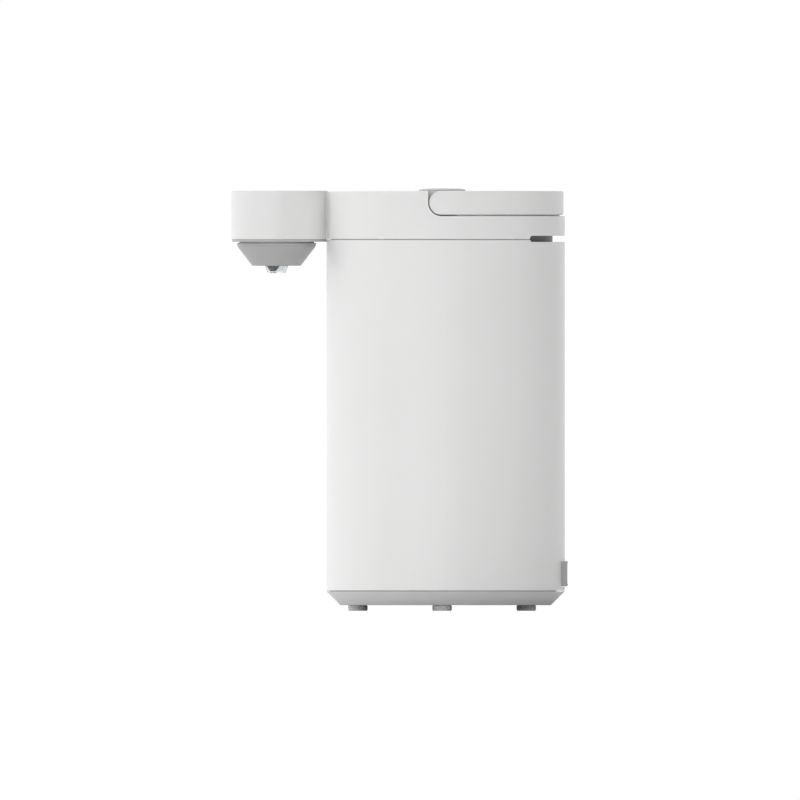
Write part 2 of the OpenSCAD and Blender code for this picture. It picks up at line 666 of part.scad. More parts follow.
module chassis() color("#85888a") {
  z = liner_z;
  ro = sleeve_r + insulation_t;
  difference() {
    union() {
      translate([0, cy, 0]) ring(ro, 58, z - 8, z - 4.3);
      translate([0, cy, 0]) ring(ro, sleeve_r, z - 5, z + 6);
      translate([0, cy, 0]) ring(67, 62.5, z - 5, z - 0.1);
      translate([0, ay, 0]) ring(R - 2.9, R - 6.5, z - 12, z - 8);
      for (a = [45:90:315]) translate([0, ay, 0]) rotate([0, 0, a]) block([R - 24, -6, z - 11.7], [R - 5, 6, z - 4.7]);
      at_corners() translate([0, 0, skirt_z + 2.8]) cylinder(r = 6, h = z - skirt_z - 10);
      // gussets between posts and ring
      for (a = [45:90:315]) translate([0, cy, 0]) rotate([0, 0, a])
        block([62, -1.5, z - 20], [R - 12, 1.5, z - 5]);
    }
    block([-7, ay - R, z - 13], [7, ay - R + 12, z + 7]);
    block([7, ay - R + 6, z - 13], [11.2, ay - R + 12.6, z + 7]);
    at_corners() translate([0, 0, skirt_z + 2]) cylinder(r = 1.55, h = 14);
  }
}

module heater_plate() color("#9fa2a5") difference() {
  translate([0, cy, liner_z - 3.1]) cylinder(r = 56, h = 3);
  translate([pump_x, pump_y, liner_z - 4]) cylinder(r = 9, h = 6);
  translate([-18, cy, liner_z - 4]) cylinder(r = 6.6, h = 6);
}

module heating_element() color("#7c6f66") translate([0, cy, liner_z - 7]) {
  rotate([0, 0, 110]) rotate_extrude(angle = 320) translate([33, 0]) circle(3.4, $fn = 32);
  for (a = [110, 70]) rotate([0, 0, a]) translate([33, 0, 0]) {
    sphere(r = 3.8);
    translate([0, 0, -9]) cylinder(r = 2.2, h = 9);
    translate([0, 0, -11.4]) cylinder(r = 1.2, h = 4);
  }
}

module thermostat() color("#c9c4b8") translate([8, cy, 0]) {
  translate([0, 0, liner_z - 7.2]) cylinder(r = 9, h = 4);
  translate([0, 0, liner_z - 10.2]) cylinder(r = 7.4, h = 3.2);
  for (x = [-3.4, 3.4]) block([x - 0.4, -2.4, liner_z - 16.2], [x + 0.4, 2.4, liner_z - 10]);
}

module temperature_probe() color("#b8babd") translate([-18, cy, 0]) {
  rotate_extrude() polygon([[0, liner_z - 10], [2.6, liner_z - 10], [2.6, liner_z + 10], [1.8, liner_z + 11.6],
    [0, liner_z + 12.2]]);
  translate([0, 0, liner_z - 6]) cylinder(r = 5.8, h = 5.8, $fn = 6);
  translate([0, 0, liner_z + liner_t + 0.1]) cylinder(r = 4.6, h = 2.6);
}

// ---------- pump and water path ----------

module pump_housing() color("#e0e1e2") {
  z = outlet_z;
  difference() {
    union() {
      translate([pump_x, pump_y, z - 8.4]) cylinder(r = pump_r, h = 14);
      rod_y(0, pump_y - 29, pump_y, z, tube_r + 0.5);
      for (a = [45:90:315]) translate([pump_x, pump_y, z + 0.6]) rotate([0, 0, a]) translate([pump_r, 0, 0])
        cylinder(r = 3, h = 4.8);
    }
    translate([pump_x, pump_y, z - 6.9]) cylinder(r = pump_r - 2.5, h = 20);
    rod_y(0, pump_y - 30, pump_y, z, tube_bore / 2);
  }
  translate([pump_x, pump_y, z - 7.4]) cylinder(r = 1.5, h = 9.6);
}

module pump_cover() color("#d3d5d6") translate([pump_x, pump_y, 0]) difference() {
  union() {
    translate([0, 0, outlet_z + 5.7]) cylinder(r = pump_r, h = 2);
    translate([0, 0, outlet_z + 4.2]) cylinder(r = pump_r - 2.8, h = 2);
    translate([0, 0, outlet_z + 5.7]) cylinder(r = tube_r, h = 7.1);
    for (a = [45:90:315]) rotate([0, 0, a]) translate([pump_r, 0, outlet_z + 5.9]) cylinder(r = 3, h = 1.6);
  }
  translate([0, 0, outlet_z]) cylinder(r = tube_bore / 2, h = 20);
  for (a = [45:90:315]) rotate([0, 0, a]) translate([pump_r, 0, outlet_z + 6.9]) cylinder(r = 1.8, h = 2);
}

module pump_impeller() color("#c9785a") translate([pump_x, pump_y, outlet_z]) difference() {
  ro = pump_r - 6;
  union() {
    translate([0, 0, -5.6]) cylinder(r = ro, h = 1.5);
    translate([0, 0, -5.6]) cylinder(r = 4.2, h = 8.6);
    // blades curve back like circle arcs
    intersection() {
      translate([0, 0, -5]) cylinder(r = ro, h = 7.6);
      for (i = [0:blades - 1]) rotate([0, 0, i * 360 / blades]) translate([ro * 0.55, -ro * 0.18, -5])
        difference() {
          cylinder(r = ro * 0.55, h = 7.6);
          translate([0, 0, -1]) cylinder(r = ro * 0.55 - 1.3, h = 10);
          translate([-30, -60, -1]) cube([60, 60, 10]);
        }
    }
  }
  translate([0, 0, -7]) cylinder(r = 1.5 + slide, h = 9.4);
}

module pump_bracket() color("#85888a") {
  z = outlet_z - 10.6;
  difference() {
    union() {
      translate([pump_x, pump_y, 0]) block([-30, -17, z], [30, 17, z + 2.1]);
      for (x = [-26, 26]) for (y = [-12, 12]) translate([pump_x + x, pump_y + y, skirt_z + 2.8])
        cylinder(r = 3.4, h = z - skirt_z - 2.2);
    }
    translate([pump_x, pump_y, z - 1]) cylinder(r = 10.8, h = 4);
  }
}

module motor_can() color("#a5a8ab") translate([pump_x, pump_y, 0]) difference() {
  translate([0, 0, 9.4]) cylinder(r = 13.4, h = outlet_z - 20.1);
  difference() {
    translate([0, 0, 10.9]) cylinder(r = 12, h = 30);
    translate([0, 0, 10]) cylinder(r = 3.6, h = 3.4);
  }
  translate([0, 0, 10.6]) cylinder(r = 1.5 + slide, h = 6);
}

module motor_rotor() color("#5a5d60") translate([pump_x, pump_y, 0]) {
  translate([0, 0, 11]) cylinder(r = 1.5, h = outlet_z - 22);
  translate([0, 0, 14.4]) cylinder(r = 9.6, h = 9);
  translate([0, 0, outlet_z - 15]) cylinder(r = 10.6, h = 3.4);
  // balance lug
  translate([7, 0, outlet_z - 17]) cylinder(r = 1.6, h = 3);
}

module inlet_hose() color("#dcdedf") translate([pump_x, pump_y, 0])
  ring(tube_r + 2.4, tube_r + slide, outlet_z + 8, liner_z - 0.4);

module riser_run(r, grow) {
  rod_y(0, riser_y + 14, pump_y - 28, outlet_z, r);
  bend(riser_y + 14, outlet_z + 14, 180, 14, r);
  translate([0, riser_y, outlet_z + 14]) cylinder(r = r, h = casing_top + 6.5 - outlet_z - 14 + grow);
}

module riser_tube() color("#dcdedf") difference() {
  union() {
    riser_run(tube_r, 0);
    rod_y(0, pump_y - 31.4, pump_y - 21.5, outlet_z, tube_r + 2.4);
  }
  riser_run(tube_bore / 2, 1);
  rod_y(0, pump_y - 29.2, pump_y - 20, outlet_z, tube_r + 0.5 + slide);
}

module head_run(r, grow) {
  h = zd - 17.3;
  translate([0, riser_y, casing_top + 4 - grow]) cylinder(r = r, h = h - 12 - casing_top - 4 + grow);
  bend(riser_y - 12, h - 12, 0, 12, r);
  rod_y(0, spout_y + 12, riser_y - 12, h, r);
  bend(spout_y + 12, h - 12, 90, 12, r);
  translate([0, spout_y, shroud_bottom + 9 - grow]) cylinder(r = r, h = h - 21 - shroud_bottom + grow);
}

module head_pipe() color("#dcdedf") difference() {
  union() {
    head_run(tube_r, 0);
    translate([0, riser_y, casing_top + 0.8]) cylinder(r = tube_r + 1.7, h = 8);
    translate([0, spout_y, shroud_bottom + 6]) cylinder(r = 6.2, h = 8);
  }
  head_run(tube_bore / 2, 4);
  translate([0, riser_y, casing_top]) cylinder(r = tube_r + slide, h = 6.7);
  translate([0, spout_y, shroud_bottom + 5]) cylinder(r = 4.4 + slide, h = 7.2);
}

// ---------- electrics ----------

module power_inlet() color("#a4a6a8") {
  z = skirt_top + 4.1;
  y = ay + R + inlet_proud;
  w = inlet_w / 2;
  difference() {
    union() {
      translate([0, y, z]) across(inlet_w) polygon([[-16, 0], [-1, 0], [0, 1], [0, inlet_h - 1], [-1, inlet_h],
        [-16, inlet_h]]);
      block([-w - 3, y - 17, z - 2], [w + 3, y - 14, z + inlet_h + 2]);
    }
    block([-w + 4, y - 9, z + 4], [w - 4, y + 1, z + inlet_h - 4]);
    // the face sits back between the upper and the lower lip
    block([-w - 1, y - 0.4, z + 2.1], [w + 1, y + 1, z + inlet_h - 2.1]);
    for (x = [-10, 0, 10]) rod_y(x, y - 18, y, z + inlet_h / 2, 1.6 + slide);
    for (x = [-16.5, 16.5]) block([x - 2.6, y - 11.2, z + 6.4], [x + 2.6, y, z + inlet_h - 6.4]);
  }
}

module inlet_pins() color("#c8a24a") for (x = [-10, 0, 10]) {
  y = ay + R + inlet_proud;
  z = skirt_top + 4.1 + inlet_h / 2;
  rod_y(x, y - 19, y - 3.4, z, 1.6);
  translate([x, y - 3.4, z]) sphere(r = 1.6);
}

module inlet_magnets() color("#8c8f92") for (x = [-16.5, 16.5]) {
  y = ay + R + inlet_proud;
  z = skirt_top + 4.1;
  block([x - 2.5, y - 11.1, z + 6.5], [x + 2.5, y - 9, z + inlet_h - 6.5]);
}

module main_board() color("#2f6b46") difference() {
  block([-46, cy + 1, skirt_z + 11.1], [30, cy + 59, skirt_z + 12.7]);
  for (x = [-40, 24]) for (y = [7, 53]) translate([x, cy + y, skirt_z + 10]) cylinder(r = 1.6, h = 4);
}

module board_parts() color("#4a4d50") {
  z = skirt_z + 12.8;
  translate([0, cy, z]) {
    block([-42, 14, 0], [-22, 34, 16]);
    block([-42, 38, 0], [-26, 50, 13]);
    translate([18, 20, 0]) cylinder(r = 5, h = 15);
    translate([18, 32, 0]) cylinder(r = 5, h = 15);
    block([-14, 47, 0], [14, 56, 9.4]);
    for (x = [-11.3, 11.3]) block([x - 3, 28, 0], [x + 3, 34, 3]);
    block([pump_x - 5, 3, 0], [pump_x + 5, 8, 5]);
    block([5, 4, 0], [13, 9, 6]);
    block([-14, 16, 0], [-4, 24, 2]);
    block([-2, 12, 0], [6, 20, 1.6]);
  }
}

// a wire through two points of a path, with round corners
module wire(path, r) {
  for (i = [0:len(path) - 2]) {
    d = path[i + 1] - path[i];
    l = norm(d);
    translate(path[i]) rotate([0, acos(d[2] / l), atan2(d[1], d[0])]) cylinder(r = r, h = l);
  }
  for (i = [1:len(path) - 2]) translate(path[i]) sphere(r = r);
}

module wiring() color("#33363a") {
  y = ay + R + inlet_proud;
  zi = skirt_top + 4.1 + inlet_h / 2;
  zb = skirt_z + 12.8;
  for (x = [-10, 0, 10]) wire([[x, y - 19.2, zi], [x, cy + 52, zi], [x, cy + 52, zb + 9.6]], 1.3);
  for (x = [-11.3, 11.3]) wire([[x, cy + 31, zb + 3.2], [x, cy + 31, liner_z - 18.5]], 1.4);
  for (x = [-3, 3]) wire([[pump_x + x, pump_y + 13.9, zb + 2.6], [pump_x + x, cy + 2.8, zb + 2.6]], 1.1);
  wire([[9, cy + 6.5, zb + 6.2], [9, cy + 6.5, liner_z - 16.5], [9, ay - R + 9.8, liner_z - 16.5],
    [9, ay - R + 9.8, zd - 9.6], [5, ay - R + 9.8, zd - 9.6], [5, head_y + 39.2, zd - 9.6]], 1.4);
}

outer_casing();
base_skirt();
rubber_feet();
base_screws();
top_housing();
top_screws();
underside_plate();
nozzle_shroud();
spout_tip();
nozzle_insert();
control_panel();
display_board();
lid();
lid_base();
lid_screws();
lid_inner_cover();
lid_gasket();
steam_valve();
steam_duct();
lid_button();
button_spring();
latch_bolt();
lid_hinge_pin();
handle();
handle_bushes();
handle_screws();
neck_ring();
liner_seal();
inner_liner();
insulation_sleeve();
chassis();
heater_plate();
heating_element();
thermostat();
temperature_probe();
pump_housing();
pump_cover();
pump_impeller();
pump_bracket();
motor_can();
motor_rotor();
inlet_hose();
riser_tube();
head_pipe();
power_inlet();
inlet_pins();
inlet_magnets();
main_board();
board_parts();
wiring();
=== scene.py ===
"""Looks of the electric thermo pot: a finish for every piece, the panel's marks, the felt round the tank
with its straps and lacing, the tank's level marks, the coil under the release button, and a plain studio.
All lengths are metres in the part's own frame."""

import logging
import math
from dataclasses import dataclass, field
from enum import Enum

import bpy
import numpy as np
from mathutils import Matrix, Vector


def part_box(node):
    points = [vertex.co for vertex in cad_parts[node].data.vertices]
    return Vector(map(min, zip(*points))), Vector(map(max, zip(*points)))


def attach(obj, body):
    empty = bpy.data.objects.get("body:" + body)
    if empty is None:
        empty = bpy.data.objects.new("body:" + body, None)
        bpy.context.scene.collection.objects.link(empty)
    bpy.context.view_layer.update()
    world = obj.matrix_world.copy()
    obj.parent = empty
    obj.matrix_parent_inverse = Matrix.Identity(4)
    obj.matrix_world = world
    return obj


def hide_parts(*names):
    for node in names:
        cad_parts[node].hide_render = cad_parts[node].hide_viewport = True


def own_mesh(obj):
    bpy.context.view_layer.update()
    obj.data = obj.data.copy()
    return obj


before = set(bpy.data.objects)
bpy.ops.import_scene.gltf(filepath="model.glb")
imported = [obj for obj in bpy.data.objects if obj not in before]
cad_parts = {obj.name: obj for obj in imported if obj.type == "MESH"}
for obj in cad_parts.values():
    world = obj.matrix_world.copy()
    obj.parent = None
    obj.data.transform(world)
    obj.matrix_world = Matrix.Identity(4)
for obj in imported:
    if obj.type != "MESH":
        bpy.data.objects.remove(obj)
LOG = logging.getLogger("thermo_pot")
MM = 0.001
TANK_AXIS = 35.7 * MM
VALUE = "NodeSocketFloat"
VECTOR = "NodeSocketVector"
Colour = tuple[float, float, float]
Socket = bpy.types.NodeSocket
Outputs = bpy.types.NodeOutputs


class Detail(Enum):
    """Names of the shader groups that several finishes share."""

    GRAIN = "moulded_grain"
    EDGE = "rounded_edge"
    DUST = "settled_dust"
    BRUSH = "brushed_lines"
    SPUN = "spun_rings"


class Glyph(Enum):
    """Symbols printed on the control panel."""

    MINUS = "minus"
    PLUS = "plus"
    LOCK = "lock"
    HEAT = "heat"
    POWER = "power"
    CUP = "cup"
    DROP = "drop"


class Wire(Enum):
    """Linear colours of the wires' sleeves."""

    LIVE_BROWN = (0.12, 0.05, 0.02)
    NEUTRAL_BLUE = (0.02, 0.09, 0.42)
    EARTH_GREEN = (0.07, 0.33, 0.06)
    EARTH_YELLOW = (0.75, 0.62, 0.04)
    MOTOR_BLACK = (0.03, 0.03, 0.03)
    MOTOR_RED = (0.55, 0.03, 0.02)
    HEATER_WHITE = (0.72, 0.70, 0.66)


# ---------------------------------------------------------------- shader graphs


@dataclass
class Graph:
    """A node tree with short ways to add nodes and join them.

    Args:
        tree: Tree of a material, a group or the world.
    """

    tree: bpy.types.NodeTree

    def feed(self, target: Socket, value: object) -> None:
        """Links a socket to an input, or sets any other value on it.

        Args:
            target: The input.
            value: Socket, number, colour or vector.
        """
        if isinstance(value, Socket):
            self.tree.links.new(value, target)
        else:
            target.default_value = value

    def add(self, kind: str, **settings: object) -> bpy.types.Node:
        """Adds a node, sets its properties and feeds its inputs.

        Args:
            kind: Blender's node type.
            settings: Values by the name of a property or an input, with _ for a space.

        Returns:
            The new node.
        """
        node = self.tree.nodes.new(kind)
        for key, value in settings.items():
            if hasattr(node, key):
                setattr(node, key, value)
            else:
                self.feed(node.inputs[key.replace("_", " ")], value)
        return node

    def calculate(self, kind: str, operation: str, *values: object) -> Outputs:
        """Adds a Math or Vector Math node and feeds its inputs in their order.

        Args:
            kind: Blender's node type.
            operation: Blender's name of the operation.
            values: Sockets, numbers or vectors.

        Returns:
            The node's outputs.
        """
        node = self.add(kind, operation=operation)
        for target, value in zip(node.inputs, values):
            self.feed(target, value)
        return node.outputs

    def math(self, operation: str, *values: object) -> Socket:
        """The result of a Math node on sockets or numbers."""
        return self.calculate("ShaderNodeMath", operation, *values)[0]

    def place(self) -> Socket:
        """The Object coordinates."""
        return self.add("ShaderNodeTexCoord").outputs["Object"]

    def split(self, vector: Socket) -> list[Socket]:
        """The X, Y and Z of a vector."""
        return list(self.add("ShaderNodeSeparateXYZ", Vector=vector).outputs)

    def noise(self, vector: Socket, **settings: object) -> Socket:
        """Cloudy noise over a vector, mostly between 0.3 and 0.7."""
        return self.add("ShaderNodeTexNoise", Vector=vector, **settings).outputs["Fac"]

    def cells(self, vector: Socket, **settings: object) -> Socket:
        """Distance to the nearest of many scattered points."""
        return self.add("ShaderNodeTexVoronoi", Vector=vector, **settings).outputs["Distance"]

    def spread(
        self, value: Socket, low: float = 0.0, high: float = 1.0, over: tuple[float, float] = (0.3, 0.7)
    ) -> Socket:
        """Maps a range of values evenly onto another one, and holds what lies outside at its ends.

        Args:
            value: The value.
            low: Result at the start of its range.
            high: Result at the end of its range.
            over: Start and end of its range, by default where noise lies.

        Returns:
            The mapped value.
        """
        start, end = over
        node = self.add(
            "ShaderNodeMapRange", Value=value, From_Min=start, From_Max=end, To_Min=low, To_Max=high
        )
        return node.outputs["Result"]

    def mix(self, mask: Socket, first: object, second: object) -> Socket:
        """Blends two colours.

        Args:
            mask: 0 shows the first, 1 the second.
            first: Colour or socket.
            second: Colour or socket.

        Returns:
            The mixed colour.
        """
        node = self.add("ShaderNodeMix", data_type="RGBA", Factor=mask)
        sides = [socket for socket in node.inputs if socket.type == "RGBA"]
        for side, value in zip(sides, (first, second)):
            self.feed(side, (*value, 1.0) if isinstance(value, tuple) else value)
        return next(socket for socket in node.outputs if socket.type == "RGBA")

    def ramp(self, value: Socket, stops: list[tuple[float, Colour]]) -> Socket:
        """Gives a value colours by a ramp.

        Args:
            value: The value, from 0 to 1.
            stops: Place and colour of each stop, in order.

        Returns:
            The colour.
        """
        node = self.add("ShaderNodeValToRGB", Fac=value)
        while len(node.color_ramp.elements) < len(stops):
            node.color_ramp.elements.new(1.0)
        for element, (at, colour) in zip(node.color_ramp.elements, stops):
            element.position = at
            element.color = (*colour, 1.0)
        return node.outputs["Color"]


def new_group(kind: Detail, inputs: dict[str, float], **outputs: str) -> tuple[Graph, Outputs]:
    """Makes a shader group with its sockets.

    Args:
        kind: Which shared effect it will hold.
        inputs: Name and default of each value input.
        outputs: Socket type of each output, by its name.

    Returns:
        Its graph, and the sockets that carry its inputs.
    """
    tree = bpy.data.node_groups.new(kind.value, "ShaderNodeTree")
    for name, value in inputs.items():
        socket = tree.interface.new_socket(name, in_out="INPUT", socket_type=VALUE)
        socket.default_value = value
    for name, socket_type in outputs.items():
        tree.interface.new_socket(name, in_out="OUTPUT", socket_type=socket_type)
    graph = Graph(tree)
    return graph, graph.add("NodeGroupInput").outputs


def build_grain() -> bpy.types.NodeTree:
    """Spark-eroded mould grain: fine noise for its height and slow noise for its patches.

    Returns:
        A group with Scale in, Height and Patch out.
    """
    graph, given = new_group(Detail.GRAIN, {"Scale": 2600.0}, Height=VALUE, Patch=VALUE)
    at = graph.place()
    fine = graph.noise(at, Scale=given["Scale"], Detail=3.0, Roughness=0.6)
    slow = graph.noise(at, Scale=9.0, Detail=2.0)
    graph.add("NodeGroupOutput", Height=fine, Patch=slow)
    return graph.tree


def build_edge() -> bpy.types.NodeTree:
    """Softened corners: a bevelled normal, and a mask where it leaves the true one.

    Returns:
        A group with Radius in, Normal and Mask out.
    """
    graph, given = new_group(Detail.EDGE, {"Radius": 0.4 * MM}, Normal=VECTOR, Mask=VALUE)
    soft = graph.add("ShaderNodeBevel", samples=6, Radius=given["Radius"]).outputs["Normal"]
    true = graph.add("ShaderNodeNewGeometry").outputs["Normal"]
    likeness = graph.calculate("ShaderNodeVectorMath", "DOT_PRODUCT", soft, true)["Value"]
    graph.add("NodeGroupOutput", Normal=soft, Mask=graph.spread(likeness, over=(1.0, 0.8)))
    return graph.tree


def build_dust() -> bpy.types.NodeTree:
    """A thin haze of dust: patchy noise kept to faces that look up.

    Returns:
        A group with Amount in, Mask out.
    """
    graph, given = new_group(Detail.DUST, {"Amount": 0.05}, Mask=VALUE)
    noise = graph.noise(graph.place(), Scale=140.0, Detail=6.0, Roughness=0.7)
    normal = graph.add("ShaderNodeNewGeometry").outputs["Normal"]
    up = graph.math("MAXIMUM", graph.split(normal)[2], 0.0)
    patch = graph.math("MULTIPLY", noise, up)
    graph.add("NodeGroupOutput", Mask=graph.math("MULTIPLY", patch, given["Amount"]))
    return graph.tree


def build_brush() -> bpy.types.NodeTree:
    """Brushing marks: noise over the place times Around in X and Y and times Along in Z.

    Returns:
        A group with Around and Along in, Streak out.
    """
    graph, given = new_group(Detail.BRUSH, {"Around": 60.0, "Along": 4000.0}, Streak=VALUE)
    around, along = given["Around"], given["Along"]
    size = graph.add("ShaderNodeCombineXYZ", X=around, Y=around, Z=along).outputs[0]
    scaled = graph.calculate("ShaderNodeVectorMath", "MULTIPLY", graph.place(), size)["Vector"]
    graph.add("NodeGroupOutput", Streak=graph.noise(scaled, Scale=1.0, Detail=4.0, Roughness=0.65))
    return graph.tree


def build_spun() -> bpy.types.NodeTree:
    """Turning marks: noise over the distance from an upright axis, and over the sine and cosine of the angle.

    The axis stands at Middle on Y, the distance is the root of X squared plus Y squared from there.

    Returns:
        A group with Middle and Across in, Streak out.
    """
    graph, given = new_group(Detail.SPUN, {"Middle": 0.0, "Across": 4200.0}, Streak=VALUE)
    x, y, z = graph.split(graph.place())
    y = graph.math("SUBTRACT", y, given["Middle"])
    square = graph.math("ADD", graph.math("MULTIPLY", x, x), graph.math("MULTIPLY", y, y))
    distance = graph.math("SQRT", square)
    divisor = graph.math("ADD", distance, 0.1 * MM)
    cosine, sine = graph.math("DIVIDE", x, divisor), graph.math("DIVIDE", y, divisor)
    rings = graph.math("MULTIPLY", graph.math("ADD", distance, z), given["Across"])
    turned = graph.add("ShaderNodeCombineXYZ", X=cosine, Y=sine, Z=rings).outputs[0]
    graph.add("NodeGroupOutput", Streak=graph.noise(turned, Scale=1.0, Detail=4.0, Roughness=0.65))
    return graph.tree


GROUPS: dict[Detail, bpy.types.NodeTree] = {
    Detail.GRAIN: build_grain(),
    Detail.EDGE: build_edge(),
    Detail.DUST: build_dust(),
    Detail.BRUSH: build_brush(),
    Detail.SPUN: build_spun(),
}


@dataclass
class Paint(Graph):
    """A material in the making: its tree and its Principled shader.

    Args:
        shader: The shader.
    """

    shader: bpy.types.Node

    def group(self, kind: Detail, **values: float) -> Outputs:
        """Places a shared group with its own values and gives its outputs."""
        return self.add("ShaderNodeGroup", node_tree=GROUPS[kind], **values).outputs

    def set(self, **values: object) -> None:
        """Feeds inputs of the shader, by their names with _ for a space."""
        for key, value in values.items():
            self.feed(self.shader.inputs[key.replace("_", " ")], value)


# ---------------------------------------------------------------- finishes


@dataclass(frozen=True)
class Finish:
    """What every finish has: a colour, a gloss, a relief, and corners that are softened and may be worn.

    Args:
        name: Material name.
        colour: Linear base colour.
        rough: Roughness in the middle of the surface.
        edge: Radius of the softened corners, in metres.
        relief: Depth of the relief, in metres.
        bite: Share of the relief that the light sees.
        tones: Dark and bright tone of the surface, as factors on the colour.
        sheen: What the roughness gains in the glossiest and in the dullest patches.
        wear_and_shade: Share of the second tone at the corners; in felt, of the painted shade in the fibres'
            hollows.
        worn_and_shaded: That tone, as a factor on the colour; in felt, the painted shade of the hollows.
    """

    name: str
    colour: Colour
    rough: float = 0.4
    edge: float = 0.4 * MM
    relief: float = 0.01 * MM
    bite: float = 0.5
    tones: tuple[float, float] = (1.0, 1.0)
    sheen: tuple[float, float] = (0.0, 0.0)
    wear_and_shade: float = 0.0
    worn_and_shaded: float = 1.0

    def tone(self, by: float) -> Colour:
        """The base colour times a factor, held at 1."""
        return tuple(min(1.0, channel * by) for channel in self.colour)

    def tint(self, paint: Paint, mask: Socket) -> Socket:
        """The dark tone where the mask is 0, the bright one where it is 1."""
        return paint.mix(mask, *(self.tone(by) for by in self.tones))

    def gloss(self, paint: Paint, patch: Socket) -> Socket:
        """The roughness over the patches of a noise."""
        return paint.spread(patch, *(self.rough + gain for gain in self.sheen))

    def emboss(self, paint: Paint, height: Socket) -> Socket:
        """Gives the shader a relief on top of the softened corners.

        Args:
            paint: The material in the making.
            height: Height of the relief, from 0 to 1.

        Returns:
            A mask of the corners.
        """
        edge = paint.group(Detail.EDGE, Radius=self.edge)
        bump = paint.add("ShaderNodeBump", Strength=self.bite, Distance=self.relief)
        paint.feed(bump.inputs["Height"], height)
        paint.feed(bump.inputs["Normal"], edge["Normal"])
        paint.set(Normal=bump.outputs["Normal"])
        return edge["Mask"]

    def surface(self, paint: Paint, height: Socket, patch: Socket) -> Socket:
        """Gives the shader its relief, and works out patchy tones with a second tone at the corners.

        Args:
            paint: The material in the making.
            height: Height of the relief, from 0 to 1.
            patch: Noise that sets the patches.

        Returns:
            The colour.
        """
        corners = paint.math("MULTIPLY", self.emboss(paint, height), self.wear_and_shade)
        return paint.mix(corners, self.tint(paint, paint.spread(patch)), self.tone(self.worn_and_shaded))

    def dress(self, paint: Paint) -> None:
        """Adds the finish's own nodes; a plain finish has none."""

    def build(self) -> bpy.types.Material:
        """Makes the material: a Principled shader, dressed by the finish's own nodes.

        Returns:
            The finished material.
        """
        material = bpy.data.materials.new(self.name)
        material.use_nodes = True
        tree = material.node_tree
        tree.nodes.clear()
        paint = Paint(tree, tree.nodes.new("ShaderNodeBsdfPrincipled"))
        paint.add("ShaderNodeOutputMaterial", Surface=paint.shader.outputs[0])
        paint.set(Base_Color=(*self.colour, 1.0), Roughness=self.rough)
        self.dress(paint)
        return material


@dataclass(frozen=True)
class MouldedPlastic(Finish):
    """Injection-moulded plastic: eroded grain, slow sheen patches, paler corners and a haze of dust.

    Args:
        grain: Cells of grain in a metre.
        dust: Strongest share of dust on faces that look up.
        dust_colour: Linear colour of the dust.
    """

    tones: tuple[float, float] = (0.985, 1.01)
    sheen: tuple[float, float] = (-0.03, 0.04)
    wear_and_shade: float = 0.10
    worn_and_shaded: float = 1.5
    grain: float = 2600.0
    dust: float = 0.04
    dust_colour: Colour = (0.62, 0.60, 0.57)

    def dress(self, paint: Paint) -> None:
        """Puts the dust on the grained surface; it dulls the gloss by as much as it covers.

        Args:
            paint: The material in the making.
        """
        grain = paint.group(Detail.GRAIN, Scale=self.grain)
        clean = self.surface(paint, grain["Height"], grain["Patch"])
        haze = paint.group(Detail.DUST, Amount=self.dust)["Mask"]
        dull = paint.math("ADD", self.gloss(paint, grain["Patch"]), haze)
        paint.set(Base_Color=paint.mix(haze, clean, self.dust_colour), Roughness=dull)


@dataclass(frozen=True)
class Rubber(Finish):
    """Matt elastomer: soft cloudy bloom, a fine eroded skin and darker corners.

    Args:
        glow: Share of light that scatters under the skin.
        scatter: How far red, green and blue go under the skin, in metres, times the shader's scale.
    """

    relief: float = 0.02 * MM
    bite: float = 0.7
    tones: tuple[float, float] = (0.93, 1.05)
    sheen: tuple[float, float] = (-0.06, 0.06)
    wear_and_shade: float = 0.15
    worn_and_shaded: float = 0.6
    glow: float = 0.0
    scatter: Colour = (3.0 * MM, 2.8 * MM, 2.5 * MM)

    def dress(self, paint: Paint) -> None:
        """Adds the skin and the light under it.

        Args:
            paint: The material in the making.
        """
        paint.set(Subsurface_Weight=self.glow, Subsurface_Radius=self.scatter, Subsurface_Scale=0.6)
        grain = paint.group(Detail.GRAIN, Scale=1700.0)
        paint.set(Base_Color=self.surface(paint, grain["Height"], grain["Patch"]))
        paint.set(Roughness=self.gloss(paint, grain["Patch"]))


@dataclass(frozen=True)
class Metal(Finish):
    """Bare metal with stroke marks and brighter corners.

    Args:
        around: Cells of the stroke noise across X and Y, in a metre.
        along: Cells of the stroke noise up Z, in a metre.
    """

    relief: float = 0.004 * MM
    bite: float = 0.45
    tones: tuple[float, float] = (0.86, 1.0)
    sheen: tuple[float, float] = (-0.06, 0.08)
    wear_and_shade: float = 0.35
    worn_and_shaded: float = 1.25
    around: float = 60.0
    along: float = 4000.0

    def marks(self, paint: Paint) -> Socket:
        """The stroke marks."""
        return paint.group(Detail.BRUSH, Around=self.around, Along=self.along)["Streak"]

    def dress(self, paint: Paint) -> None:
        """Makes the shader metal and lets the marks set its relief, tone and gloss.

        Args:
            paint: The material in the making.
        """
        streak = self.marks(paint)
        paint.set(Metallic=1.0, Base_Color=self.surface(paint, streak, streak))
        paint.set(Roughness=self.gloss(paint, streak))


@dataclass(frozen=True)
class SpunMetal(Metal):
    """Pressed or turned metal with fine rings about an upright axis, as many to a metre as Along says.

    Args:
        middle: Place of the axis on Y, in metres.
    """

    middle: float = TANK_AXIS

    def marks(self, paint: Paint) -> Socket:
        """The rings."""
        return paint.group(Detail.SPUN, Middle=self.middle, Across=self.along)["Streak"]


